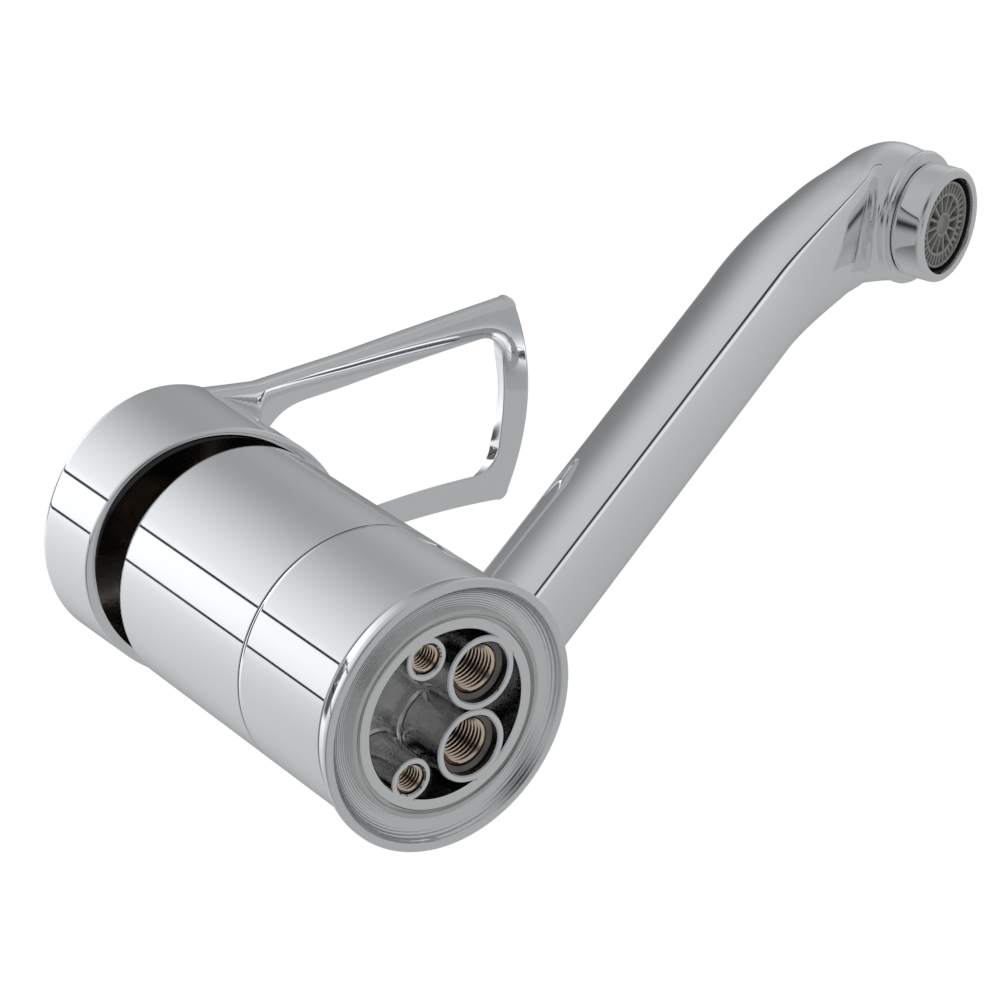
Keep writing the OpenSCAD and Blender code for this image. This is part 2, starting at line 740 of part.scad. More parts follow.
module cartridge_shell() {
    color(dark_plastic) {
        ring(cartridge_d / 2, shell_bore / 2, base_top, shoulder_z - base_top);
        ring(cartridge_d / 2, neck_in_r, shoulder_z, shoulder_t);
        ring(neck_d / 2, neck_in_r, shell_top, neck_h);
    }
}

// The ring on the cartridge's neck: its inner half stops the rotor's key at each end of the turn
module stop_ring() {
    window = turn_limit + key_half + 0.4;
    color(dark_plastic) {
        ring(neck_d / 2, neck_in_r, neck_top, stop_ring_t);
        rotate(window) rotate_extrude(angle = 360 - 2 * window)
            translate([neck_in_r - 1.8, neck_top]) square([2.4, stop_ring_t]);
    }
}

module cartridge_nut() {
    nut_h = nut_thread_h + nut_hex_h;
    color(brass) difference() {
        union() {
            translate([0, 0, shell_top]) cylinder(r = nut_thread_d / 2 - nut_gap, h = nut_thread_h);
            translate([0, 0, shell_top]) cylinder(r = nut_flats / sqrt(3), h = nut_h, $fn = 6);
        }
        translate([0, 0, shell_top - over]) cylinder(r = nut_in_r, h = nut_h + 2 * over);
    }
}

module dome_cover() {
    rim_r = dome_d / 2;
    lip_r = nut_thread_d / 2 - nut_gap;
    color(dark_plastic) {
        difference() {
            intersection() {
                translate([0, 0, dome_z]) sphere(r = dome_r);
                translate([0, 0, column_top]) cylinder(r = rim_r + over, h = dome_r);
            }
            translate([0, 0, dome_z]) sphere(r = dome_r - dome_wall);
            cylinder(d = dome_hole, h = dome_z + dome_r + over);
        }
        ring(rim_r - 0.2, lip_r - dome_wall, column_top, dome_wall);
        ring(lip_r, lip_r - dome_wall, column_top - dome_lip, dome_lip + dome_wall);
    }
}

// The loop's half width, outside and inside, and its underside, along the lever
function waist_flare(x) = x > waist_x
    ? (loop_corner_y - loop_waist) * pow((x - waist_x) / (loop_corner_x - waist_x), 2)
    : (root_y - loop_waist) * pow((waist_x - x) / (waist_x - root_x), root_power);
function loop_out(x) = loop_waist + waist_flare(x);
function arm_width(x) = arm_w
    + (arm_front_w - arm_w) * pow(max(0, (x - waist_x) / (loop_corner_x - waist_x)), 2)
    + root_web * pow(min(1, max(0, (web_x - x) / (web_x - cap_front_x))), 3);
function loop_thick(x) = loop_t + root_swell * pow(max(0, (web_x - x) / (web_x - root_x)), 2);
function loop_under(x) = cap_top_z - root_drop
    + loop_rise * (1 - pow(1 - min(1, max(0, (x - rise_x) / (loop_reach - rise_x))), rise_power));

// Pairs of plan points, outer and inner, from an arm's root round the corner to the middle
in_corner_x = loop_reach - bar_w - 0.6 - corner_in_r;
in_corner_y = loop_out(in_corner_x) - arm_width(in_corner_x) - corner_in_r;
out_corner_x = loop_corner_x - corner_out_r;
out_corner_y = loop_corner_y - corner_out_r;
arm_steps = 16;
corner_steps = 6;
bar_steps = 5;
arm_pairs = [for (i = [0 : arm_steps - 1]) let (x = root_x + (in_corner_x - root_x) * i / arm_steps)
    [[x, loop_out(x)], [x, loop_out(x) - arm_width(x)]]];
corner_pairs = [for (i = [0 : corner_steps])
    let (a = 90 - 90 * i / corner_steps, turn = 2 * a,
         x = in_corner_x + (out_corner_x - in_corner_x) * i * 2 / corner_steps)
    [i * 2 < corner_steps
        ? [x, loop_out(x)]
        : [out_corner_x + corner_out_r * cos(turn), out_corner_y + corner_out_r * sin(turn)],
     [in_corner_x + corner_in_r * cos(a), in_corner_y + corner_in_r * sin(a)]]];
bar_pairs = [for (i = [1 : bar_steps]) let (t = 1 - i / bar_steps)
    [[loop_reach - (loop_reach - loop_corner_x) * pow(t, 2), out_corner_y * t],
     [loop_reach - bar_w - 0.6 * pow(t, 2), in_corner_y * t]]];
half_pairs = concat(arm_pairs, corner_pairs, bar_pairs);
mirrored = [for (i = [len(half_pairs) - 2 : -1 : 0]) let (p = half_pairs[i])
    [[p[0][0], -p[0][1]], [p[1][0], -p[1][1]]]];
loop_pairs = concat(half_pairs, mirrored);

// One section between an outer and an inner plan point: the outer side is upright, the inner one leans.
// Each corner is [middle along the section, middle's height, radius, first angle, last angle]
edge_steps = 3;
function lean_width(x) = inner_lean
    + (bar_lean - inner_lean) * min(1, max(0, (x - in_corner_x) / corner_in_r));
function section(p) =
    let (out = p[0], inner = p[1], w = norm(out - inner), u = (out - inner) / w,
         thick = loop_thick(out[0]), lean_w = lean_width(inner[0]), lean = atan2(lean_w, thick),
         foot = inner_edge_r * (1 + sin(lean)) / cos(lean),
         head = lean_w + inner_edge_r * (1 - sin(lean)) / cos(lean))
    [for (corner = [[w - edge_r, thick - edge_r, edge_r, 0, 90],
                    [head, thick - inner_edge_r, inner_edge_r, 90, 180 - lean],
                    [foot, inner_edge_r, inner_edge_r, 180 - lean, 270],
                    [w - edge_r, edge_r, edge_r, 270, 360]])
        for (i = [0 : edge_steps])
            let (a = corner[3] + (corner[4] - corner[3]) * i / edge_steps,
                 q = inner + u * (corner[0] + corner[2] * cos(a)))
            [q[0], q[1], loop_under(q[0]) + corner[1] + corner[2] * sin(a)]];

// Joins rings of points, listed from the first section to the last, into one closed skin
module skin(rings) {
    n = len(rings[0]);
    last = len(rings) - 1;
    sides = [for (k = [0 : last - 1]) for (i = [0 : n - 1]) let (j = (i + 1) % n)
        each [[k * n + j, k * n + i, (k + 1) * n + j], [(k + 1) * n + j, k * n + i, (k + 1) * n + i]]];
    first_end = [for (i = [0 : n - 1]) i];
    last_end = [for (i = [n - 1 : -1 : 0]) last * n + i];
    polyhedron([for (r = rings) each r], concat(sides, [first_end, last_end]), convexity = 6);
}

module loop() {
    skin([for (p = loop_pairs) section(p)]);
}

// The cap's outside: a drum that widens a little upward, under a sloping top with a rounded edge
module cap_drum() {
    arc = [for (a = [0 : 15 : 90]) [top_r - cap_round * (1 - cos(a)), -cap_round * (1 - sin(a))]];
    intersection() {
        translate([cap_ahead, 0, cap_low_z])
            cylinder(d1 = cap_low_d, d2 = cap_top_d, h = cap_top_z + cap_round - cap_low_z);
        translate([0, 0, cap_top_z]) rotate([0, -cap_top_slope, 0]) translate([cap_ahead, 0, 0])
            rotate_extrude() polygon(concat([[0, -cap_top_d], [2 * cap_top_d, -cap_top_d]], arc, [[0, 0]]));
    }
}

module lever_handle() {
    color(chrome) difference() {
        union() {
            difference() {
                cap_drum();
                translate([cap_ahead, 0, cap_low_z - over])
                    cylinder(d = cap_bore, h = cap_ceiling_z - cap_low_z + over);
                translate([0, 0, cap_rim_z]) rotate([0, cap_rim_slope, 0])
                    translate([-2 * cap_top_d, -cap_top_d, -cap_top_d])
                        cube([4 * cap_top_d, 2 * cap_top_d, cap_top_d]);
            }
            translate([0, 0, hub_z]) cylinder(d = hub_d, h = cap_ceiling_z - hub_z + over);
            translate([0, 0, screw_z]) rotate([0, 90, 0])
                cylinder(d = screw_boss_d, h = cap_ahead + cap_bore / 2 + 0.5);
            loop();
        }
        translate([-stem_w / 2 - stem_fit, -stem_w / 2 - stem_fit, hub_z - over])
            cube([stem_w + 2 * stem_fit, stem_w + 2 * stem_fit, hub_top - hub_z + over]);
        translate([0, 0, screw_z]) rotate([0, 90, 0]) cylinder(d = screw_d + 2 * slip, h = cap_top_d);
        translate([plug_x, 0, screw_z]) rotate([0, 90, 0]) cylinder(d = plug_d + 2 * slip, h = cap_top_d);
    }
}

module grub_screw() {
    socket_af = screw_d / 2;
    color(steel) translate([stem_w / 2, 0, screw_z]) rotate([0, 90, 0]) difference() {
        cylinder(d = screw_d, h = screw_l);
        translate([0, 0, screw_l / 2]) cylinder(r = socket_af / sqrt(3), h = screw_l, $fn = 6);
    }
}

module index_plug() {
    color(dark_plastic) translate([plug_x, 0, screw_z]) rotate([0, 90, 0]) cylinder(d = plug_d, h = plug_t);
}

// Puts a piece on the outlet's axis, with its z measured up from the end of the aerator
module at_outlet() {
    translate([outlet_x, 0, outlet_z]) rotate([0, -outlet_tilt, 0]) children();
}

// The spout's skin: a long cone that bends and widens into the head, with a flat belly under the bend
spout_sides = 40;
bend_steps = 6;
nod_steps = 5;
dome_steps = 9;
function cone_r(s) = (spout_root_d + (spout_tip_d - spout_root_d) * s / spout_run) / 2;

// Depth from a point of the centre line down to the belly, which starts as the straight part's underside
function belly(x, z, rise) = let (s = x * cos(spout_rise) + (z - spout_z) * sin(spout_rise),
                                  w = (z - spout_z) * cos(spout_rise) - x * sin(spout_rise))
    (spout_tip_d / 2 + (s - spout_run) * tan(belly_slope) + w) / cos(spout_rise - rise);

// One ring of the skin round a point of the centre line
function skin_ring(x, z, r, depth, rise) = let (power = 2 + belly_square * (1 - depth / r))
    [for (i = [0 : spout_sides - 1]) let (a = 360 * i / spout_sides,
         across = sin(a) < 0 ? r * sign(cos(a)) * pow(abs(cos(a)), 2 / power) : r * cos(a),
         up = sin(a) < 0 ? -depth * pow(-sin(a), 2 / power) : r * sin(a))
        [x - up * sin(rise), across, z + up * cos(rise)]];
function straight_ring(s) = skin_ring(s * cos(spout_rise), spout_z + s * sin(spout_rise),
                                      cone_r(s), cone_r(s), spout_rise);
function bent_ring(mid_x, mid_z, radius, rise, r) =
    let (x = mid_x - radius * sin(rise), z = mid_z + radius * cos(rise))
    skin_ring(x, z, r, min(r, belly(x, z, rise)), rise);

module spout_skin() {
    skin(concat([straight_ring(spout_start)],
        [for (i = [0 : bend_steps]) let (t = i / bend_steps)
            bent_ring(bend_x, bend_z, bend_r, spout_rise - bend_angle * t,
                      (spout_tip_d + (neck_end_d - spout_tip_d) * t) / 2)],
        [for (i = [1 : nod_steps]) let (t = i / nod_steps)
            bent_ring(nod_x, nod_z, nod_r, nod_rise - nod_angle * t,
                      (neck_end_d + (spout_end_d - neck_end_d) * t) / 2)]));
}

// The water way: a narrow throat, a straight cone and a shorter cone that enters the head's chamber
module water_way() {
    translate([0, 0, spout_z]) rotate([0, 90 - spout_rise, 0]) {
        cylinder(d = throat_d, h = throat_l + over);
        translate([0, 0, throat_l])
            cylinder(r1 = cone_r(throat_l) - spout_wall, r2 = cone_r(way_run) - spout_wall,
                     h = way_run - throat_l);
        translate([0, 0, way_run - 2 * over]) rotate([0, way_turn, 0])
            cylinder(d1 = way_start_d, d2 = way_end_d, h = way_turn_l + 2 * over);
    }
}

// The head: the rolled rim, a socket that swells upward and the dome over it
module socket_outline() {
    rim_r = rim_d / 2;
    full_z = rim_z + rim_h + head_swell_l;
    dome = [for (i = [0 : dome_steps]) let (a = 90 * i / dome_steps)
        [head_d / 2 * pow(cos(a), 2 / dome_power), full_z + head_dome_h * pow(sin(a), 2 / dome_power)]];
    at_outlet() rotate_extrude() polygon(concat([
        [0, rim_z], [rim_r - 1.6, rim_z], [rim_r - 0.7, rim_z + 0.4], [rim_r - 0.2, rim_z + 0.9],
        [rim_r, rim_z + 1.6], [rim_r, rim_z + 2], [rim_r - 0.2, rim_z + rim_h - 1],
        [socket_d / 2, rim_z + rim_h]], dome));
}

module spout() {
    color(chrome) difference() {
        union() {
            translate([0, 0, collar_low]) cylinder(r = column_r, h = collar_high - collar_low);
            difference() {
                spout_skin();
                translate([0, 0, collar_high]) cylinder(r = column_r + seam_gap, h = column_top);
            }
            socket_outline();
        }
        translate([0, 0, collar_low - over]) cylinder(d = collar_bore, h = seam_z);
        translate([0, 0, collar_low - over]) cylinder(d = bearing_seat_d, h = bearing_seat_h + over);
        translate([0, 0, collar_high - bearing_seat_h])
            cylinder(d = bearing_seat_d, h = bearing_seat_h + over);
        water_way();
        at_outlet() {
            translate([0, 0, rim_z - over])
                cylinder(d = aerator_thread_d + 2 * nut_gap, h = head_floor - rim_z + over);
            translate([0, 0, head_floor - over]) cylinder(d = head_bore, h = outlet_drop - head_floor + over);
            translate([0, 0, outlet_drop]) sphere(d = head_bore);
        }
    }
}

module aerator_housing() {
    r = aerator_d / 2;
    color(chrome) at_outlet() rotate_extrude() polygon([
        [mouth_d / 2, 0.3], [mouth_d / 2 + 0.3, 0], [r - 0.9, 0], [r - 0.2, 0.7], [r, 1.2],
        [r, aerator_l], [aerator_thread_d / 2, aerator_l], [aerator_thread_d / 2, thread_top],
        [insert_d / 2 + bearing_gap, thread_top], [insert_d / 2 + bearing_gap, mouth_lip],
        [mouth_d / 2, mouth_lip]]);
}

// The ribs of one row, from one radius out to another
module ribs(count, r_in, r_out) {
    for (i = [0 : count - 1]) rotate(360 * i / count)
        translate([r_in, -rib_t / 2, rib_z]) cube([r_out - r_in, rib_t, rib_h]);
}

module aerator_grille() {
    wall = 0.8;
    color(steel) at_outlet() {
        ring(insert_d / 2, insert_d / 2 - wall, insert_z, insert_h);
        ring(mid_ring_d / 2 + wall / 2, mid_ring_d / 2 - wall / 2, rib_z, rib_h);
        translate([0, 0, rib_z]) cylinder(d = centre_d, h = rib_h);
        ribs(outer_ribs, mid_ring_d / 2, insert_d / 2 - wall / 2);
        ribs(inner_ribs, centre_d / 2 - wall / 2, mid_ring_d / 2);
    }
}

module jet_plate() {
    color(pale_plastic) at_outlet() difference() {
        translate([0, 0, jet_plate_z]) cylinder(d = insert_d, h = jet_plate_t);
        for (r = [7, 10]) for (i = [0 : jets - 1]) rotate(360 * (i + r / 2) / jets)
            translate([r, 0, jet_plate_z - over]) cylinder(d = jet_d, h = jet_plate_t + 2 * over);
    }
}

module aerator_screens() {
    color(steel) at_outlet() for (i = [0, 1])
        translate([0, 0, screen_z + i * (screen_t + bearing_gap)])
            cylinder(d = insert_d - 1.7, h = screen_t);
}

module aerator_washer() {
    color(rubber) at_outlet() ring(aerator_thread_d / 2, washer_bore / 2, washer_z, washer_t);
}

body_casting();
base_flange();
snap_ring();
lower_bearing_ring();
upper_bearing_ring();
spout_seals();
cartridge_base();
cartridge_seals();
fixed_disc();
moving_disc();
disc_carrier();
rotor();
stem_pin();
lever_stem();
cartridge_shell();
stop_ring();
cartridge_nut();
dome_cover();
lever_handle();
grub_screw();
index_plug();
spout();
aerator_housing();
aerator_grille();
jet_plate();
aerator_screens();
aerator_washer();
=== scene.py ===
# The looks of a single-lever kitchen mixer with a loop lever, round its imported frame.
# +Z is up and +X points along the spout. Each section makes one piece, or one group of like pieces.
import json
import math
from bisect import bisect_right

import bpy
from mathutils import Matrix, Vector

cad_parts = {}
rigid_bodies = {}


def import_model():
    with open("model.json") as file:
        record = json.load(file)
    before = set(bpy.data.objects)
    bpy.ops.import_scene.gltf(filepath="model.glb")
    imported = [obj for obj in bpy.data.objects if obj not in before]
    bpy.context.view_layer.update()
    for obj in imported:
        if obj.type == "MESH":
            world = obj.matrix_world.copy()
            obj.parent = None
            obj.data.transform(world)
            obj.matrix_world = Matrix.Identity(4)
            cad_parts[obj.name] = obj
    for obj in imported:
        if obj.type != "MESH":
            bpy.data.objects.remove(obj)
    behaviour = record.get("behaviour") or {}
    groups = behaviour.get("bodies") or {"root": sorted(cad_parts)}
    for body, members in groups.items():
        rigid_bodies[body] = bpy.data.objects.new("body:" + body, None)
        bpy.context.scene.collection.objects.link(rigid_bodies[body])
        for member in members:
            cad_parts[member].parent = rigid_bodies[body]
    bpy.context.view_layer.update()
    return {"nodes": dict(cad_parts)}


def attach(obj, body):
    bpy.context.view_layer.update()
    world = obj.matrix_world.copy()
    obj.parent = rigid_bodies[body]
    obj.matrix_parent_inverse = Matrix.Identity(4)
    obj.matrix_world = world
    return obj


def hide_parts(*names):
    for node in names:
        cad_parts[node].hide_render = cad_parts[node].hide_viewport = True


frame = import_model()
bpy.ops.object.select_all(action="DESELECT")
MM = 0.001


# Studio: white to the eye, while the metal sees a large pale room with a grey ceiling ahead of the tap,
# a bright side behind it and two thin black edges of its light panels.
ROOM_LEVEL = 0.449
ROOM_PATCHES = [
    # azimuth, elevation, tightness, strength
    (164, 46, 4.5, 2.0),
    (-16, 61, 6.6, -2.0),
    (-17, 51, 7.2, 1.563),
    (160, 38, 4.8, -1.938),
    (-131, 86, 8.9, 1.236),
    (178, 9, 130, -0.5),
    (-165, -76, 60, -0.42),
    (-130, -22, 14, -0.40),
]
PANEL_EDGES = [
    # normal of the edge's plane, shift from that plane, middle, half width, reach, darkness
    (Vector((0.500, 0.516, -0.696)), 0.0, Vector((0.862, -0.375, 0.342)), 0.022, 0.72, 0.93),
    (Vector((0.500, 0.516, -0.696)), 0.055, Vector((0.862, -0.375, 0.342)), 0.024, 0.72, -0.45),
    (Vector((-0.122, -0.993, 0.0)), 0.0, Vector((-0.638, 0.078, 0.766)), 0.014, 0.90, 0.97),
    (Vector((0.438, -0.899, 0.0)), 0.0, Vector((-0.578, -0.282, 0.766)), 0.014, 0.90, 0.97),
    (Vector((0.161, -0.987, 0.0)), 0.0, Vector((-0.635, -0.105, 0.766)), 0.24, 0.90, -0.16),
]
# Black stands and cables: azimuth, elevation, outer and inner edge, and how much of the noise they fill
STANDS = [(170, 69, 0.965, 0.985, 0.28, 0.38)]
STANDS_DARKNESS = 0.92
DARKEST = 0.03


def direction(azimuth, elevation):
    a, e = math.radians(azimuth), math.radians(elevation)
    return Vector((math.cos(e) * math.cos(a), math.cos(e) * math.sin(a), math.sin(e)))


def add_math(tree, operation, first, second=None, clamp=False):
    node = tree.nodes.new("ShaderNodeMath")
    node.operation = operation
    node.use_clamp = clamp
    for socket, value in zip(node.inputs, (first, second)):
        if isinstance(value, (int, float)):
            socket.default_value = value
        elif value is not None:
            tree.links.new(value, socket)
    return node.outputs[0]


def add_dot(tree, vector, fixed):
    node = tree.nodes.new("ShaderNodeVectorMath")
    node.operation = "DOT_PRODUCT"
    tree.links.new(vector, node.inputs[0])
    node.inputs[1].default_value = fixed
    return node.outputs["Value"]


def add_ramp(tree, value, low, high, start=0.0, end=1.0):
    node = tree.nodes.new("ShaderNodeMapRange")
    node.interpolation_type = "SMOOTHSTEP"
    tree.links.new(value, node.inputs["Value"])
    for name, number in (("From Min", low), ("From Max", high), ("To Min", start), ("To Max", end)):
        node.inputs[name].default_value = number
    return node.outputs["Result"]


world = bpy.data.worlds.new("studio")
bpy.context.scene.world = world
world.use_nodes = True
tree = world.node_tree
tree.nodes.clear()
ray = tree.nodes.new("ShaderNodeTexCoord").outputs["Generated"]
room = ROOM_LEVEL
for azimuth, elevation, tightness, strength in ROOM_PATCHES:
    nearness = add_math(tree, "SUBTRACT", add_dot(tree, ray, direction(azimuth, elevation)), 1)
    patch = add_math(tree, "EXPONENT", add_math(tree, "MULTIPLY", nearness, tightness))
    room = add_math(tree, "ADD", add_math(tree, "MULTIPLY", patch, strength), room)
for normal, shift, middle, half_width, reach, darkness in PANEL_EDGES:
    off_plane = add_math(tree, "ABSOLUTE", add_math(tree, "SUBTRACT", add_dot(tree, ray, normal.normalized()), shift))
    line = add_ramp(tree, off_plane, half_width * 0.6, half_width * 1.2, darkness, 0.0)
    along = add_ramp(tree, add_dot(tree, ray, middle.normalized()), reach, reach + 0.03)
    room = add_math(tree, "MULTIPLY", room,
                    add_math(tree, "SUBTRACT", 1, add_math(tree, "MULTIPLY", line, along)))
room = add_math(tree, "MAXIMUM", room, DARKEST)
shapes = tree.nodes.new("ShaderNodeTexNoise")
shapes.inputs["Scale"].default_value = 6
shapes.inputs["Detail"].default_value = 3
shapes.inputs["Distortion"].default_value = 1.2
tree.links.new(ray, shapes.inputs["Vector"])
for azimuth, elevation, outer, inner, empty, full in STANDS:
    stands = add_math(tree, "MULTIPLY", add_ramp(tree, shapes.outputs["Fac"], empty, full, 0, STANDS_DARKNESS),
                      add_ramp(tree, add_dot(tree, ray, direction(azimuth, elevation)), outer, inner))
    room = add_math(tree, "MULTIPLY", room, add_math(tree, "SUBTRACT", 1, stands))
studio_light = tree.nodes.new("ShaderNodeBackground")
studio_light.inputs["Color"].default_value = (0.965, 0.99, 1, 1)
tree.links.new(room, studio_light.inputs["Strength"])
plain_white = tree.nodes.new("ShaderNodeBackground")
plain_white.inputs["Color"].default_value = (1, 1, 1, 1)
seen = tree.nodes.new("ShaderNodeMixShader")
tree.links.new(tree.nodes.new("ShaderNodeLightPath").outputs["Is Camera Ray"], seen.inputs["Fac"])
tree.links.new(studio_light.outputs[0], seen.inputs[1])
tree.links.new(plain_white.outputs[0], seen.inputs[2])
tree.links.new(seen.outputs[0], tree.nodes.new("ShaderNodeOutputWorld").inputs["Surface"])
bpy.context.scene.view_settings.view_transform = "Standard"


# Camera: it stands low behind the tap, to the right of the lever, and looks up at the foot.
CAMERA_PLACE = (-332.4, -293.7, -452.1)
CAMERA_TURN = (154.195, 35.972, -2.871)
CAMERA_LENS = 128.1
bpy.ops.object.camera_add(location=[v * MM for v in CAMERA_PLACE],
                          rotation=[math.radians(v) for v in CAMERA_TURN])
camera = bpy.context.object
camera.data.lens = CAMERA_LENS
camera.data.sensor_width = 36
camera.data.clip_start = 0.01
bpy.context.scene.camera = camera


# Floor: a pale worktop under the foot. From below it is clear, because the photograph is taken from
# under the tap, and only the eye sees it, so that the light reaches the foot from all round.
FLOOR_SIZE = 6000
bpy.ops.mesh.primitive_plane_add(size=FLOOR_SIZE * MM, location=(0, 0, -0.3 * MM))
floor = bpy.context.object
floor.name = "worktop"
paint = bpy.data.materials.new("pale_worktop")
paint.use_nodes = True
tree = paint.node_tree
tree.nodes.clear()
matt = tree.nodes.new("ShaderNodeBsdfDiffuse")
matt.inputs["Color"].default_value = (0.86, 0.86, 0.86, 1)
clear = tree.nodes.new("ShaderNodeBsdfTransparent")
above = add_math(tree, "SUBTRACT", 1, tree.nodes.new("ShaderNodeNewGeometry").outputs["Backfacing"])
to_eye = add_math(tree, "MULTIPLY", above, tree.nodes.new("ShaderNodeLightPath").outputs["Is Camera Ray"])
mix = tree.nodes.new("ShaderNodeMixShader")
tree.links.new(to_eye, mix.inputs["Fac"])
tree.links.new(clear.outputs[0], mix.inputs[1])
tree.links.new(matt.outputs[0], mix.inputs[2])
tree.links.new(mix.outputs[0], tree.nodes.new("ShaderNodeOutputMaterial").inputs["Surface"])
floor.data.materials.append(paint)


# Finishes that several pieces share: polished chrome plate over cast brass, and a plain finish whose
# gloss and colour drift a little over the surface, for brass, steel, plastics, rubber and ceramic.
def surface_drift():
    """Node group: slow drift of gloss, fine scratches and their bump, from a noise in millimetres."""
    group = bpy.data.node_groups.new("surface_drift", "ShaderNodeTree")
    for name, kind, way in (("Size", "NodeSocketFloat", "INPUT"), ("Low", "NodeSocketFloat", "INPUT"),
                            ("High", "NodeSocketFloat", "INPUT"), ("Grain", "NodeSocketFloat", "INPUT"),
                            ("Grain Depth", "NodeSocketFloat", "INPUT"),
                            ("Gloss", "NodeSocketFloat", "OUTPUT"), ("Shade", "NodeSocketFloat", "OUTPUT"),
                            ("Normal", "NodeSocketVector", "OUTPUT")):
        group.interface.new_socket(name=name, in_out=way, socket_type=kind)
    inside = group.nodes.new("NodeGroupInput").outputs
    outside = group.nodes.new("NodeGroupOutput").inputs
    place = group.nodes.new("ShaderNodeTexCoord").outputs["Object"]
    patches = group.nodes.new("ShaderNodeTexNoise")
    patches.inputs["Detail"].default_value = 3
    group.links.new(place, patches.inputs["Vector"])
    group.links.new(inside["Size"], patches.inputs["Scale"])
    fine = group.nodes.new("ShaderNodeTexNoise")
    fine.inputs["Detail"].default_value = 4
    group.links.new(place, fine.inputs["Vector"])
    group.links.new(inside["Grain"], fine.inputs["Scale"])
    spread = group.nodes.new("ShaderNodeMapRange")
    group.links.new(patches.outputs["Fac"], spread.inputs["Value"])
    spread.inputs["From Min"].default_value = 0.3
    spread.inputs["From Max"].default_value = 0.7
    group.links.new(inside["Low"], spread.inputs["To Min"])
    group.links.new(inside["High"], spread.inputs["To Max"])
    bump = group.nodes.new("ShaderNodeBump")
    bump.inputs["Strength"].default_value = 1
    group.links.new(fine.outputs["Fac"], bump.inputs["Height"])
    group.links.new(inside["Grain Depth"], bump.inputs["Distance"])
    group.links.new(spread.outputs["Result"], outside["Gloss"])
    group.links.new(patches.outputs["Fac"], outside["Shade"])
    group.links.new(bump.outputs["Normal"], outside["Normal"])
    return group


drift = surface_drift()


def finish(name, colour, metallic, gloss, patch_size=60, grain=900, grain_depth=0.0, shade=0.04,
           coat=0.0, second=None):
    """A material: its colour drifts to `second`, its roughness between the two values of gloss."""
    material = bpy.data.materials.new(name)
    material.use_nodes = True
    tree = material.node_tree
    shader = tree.nodes["Principled BSDF"]
    shader.inputs["Metallic"].default_value = metallic
    shader.inputs["Coat Weight"].default_value = coat
    wear = tree.nodes.new("ShaderNodeGroup")
    wear.node_tree = drift
    for socket, number in (("Size", patch_size), ("Low", gloss[0]), ("High", gloss[1]),
                           ("Grain", grain), ("Grain Depth", grain_depth * MM)):
        wear.inputs[socket].default_value = number
    blend = tree.nodes.new("ShaderNodeMix")
    blend.data_type = "RGBA"
    blend.inputs[6].default_value = (*colour, 1)
    darker = [channel * (1 - shade) for channel in colour]
    blend.inputs[7].default_value = (*(second or darker), 1)
    tree.links.new(wear.outputs["Shade"], blend.inputs["Factor"])
    tree.links.new(blend.outputs[2], shader.inputs["Base Color"])
    tree.links.new(wear.outputs["Gloss"], shader.inputs["Roughness"])
    if grain_depth:
        tree.links.new(wear.outputs["Normal"], shader.inputs["Normal"])
    return material


chrome = finish("chrome_plate", (0.88, 0.885, 0.895), 1.0, (0.025, 0.05), patch_size=25, shade=0.02)


# Ways of working that several pieces share: a section spun round an axis, a skin rolled from a grid,
# and cuts, joins, edge rounds and the tilt of the outlet.
def pick_only(piece):
    bpy.ops.object.select_all(action="DESELECT")
    piece.select_set(True)
    bpy.context.view_layer.objects.active = piece


def tidy_normals(piece):
    pick_only(piece)
    bpy.ops.object.mode_set(mode="EDIT")
    bpy.ops.mesh.select_all(action="SELECT")
    bpy.ops.mesh.remove_doubles(threshold=0.002 * MM)
    bpy.ops.mesh.normals_make_consistent(inside=False)
    bpy.ops.object.mode_set(mode="OBJECT")


def spun(name, outline, steps=144):
    """Draws half of a closed section as (radius, height) in millimetres and spins it round +Z."""
    pick_none = bpy.ops.object.select_all
    pick_none(action="DESELECT")
    radius, height = outline[0]
    bpy.ops.mesh.primitive_plane_add(size=MM, location=(radius * MM, 0, height * MM))
    piece = bpy.context.object
    piece.name = piece.data.name = name
    bpy.ops.object.transform_apply(location=True)
    bpy.ops.object.mode_set(mode="EDIT")
    bpy.ops.mesh.select_all(action="SELECT")
    bpy.ops.mesh.merge(type="CENTER")
    for (r0, z0), (r1, z1) in zip(outline, outline[1:] + outline[:1]):
        bpy.ops.mesh.extrude_region_move(
            TRANSFORM_OT_translate={"value": ((r1 - r0) * MM, 0, (z1 - z0) * MM)})
    bpy.ops.mesh.select_all(action="SELECT")
    bpy.ops.mesh.spin(steps=steps, angle=math.tau, center=(0, 0, 0), axis=(0, 0, 1))
    bpy.ops.object.mode_set(mode="OBJECT")
    tidy_normals(piece)
    return piece


def rolled_skin(name, rings):
    """Rolls a grid into a closed tube through the rings of points, in millimetres, and caps its ends."""
    around = len(rings[0])
    bpy.ops.object.select_all(action="DESELECT")
    bpy.ops.mesh.primitive_grid_add(x_subdivisions=around, y_subdivisions=len(rings) - 1, size=1)
    piece = bpy.context.object
    piece.name = piece.data.name = name
    for row, ring in enumerate(rings):
        for step in range(around + 1):
            vertex = piece.data.vertices[row * (around + 1) + step]
            vertex.co = Vector(ring[step % around]) * MM
    bpy.ops.object.mode_set(mode="EDIT")
    bpy.ops.mesh.select_all(action="SELECT")
    bpy.ops.mesh.remove_doubles(threshold=0.0005 * MM)
    bpy.ops.mesh.select_all(action="DESELECT")
    bpy.ops.mesh.select_non_manifold(extend=False, use_wire=False, use_multi_face=False,
                                     use_non_contiguous=False, use_verts=False)
    bpy.ops.mesh.edge_face_add()
    bpy.ops.object.mode_set(mode="OBJECT")
    tidy_normals(piece)
    return piece


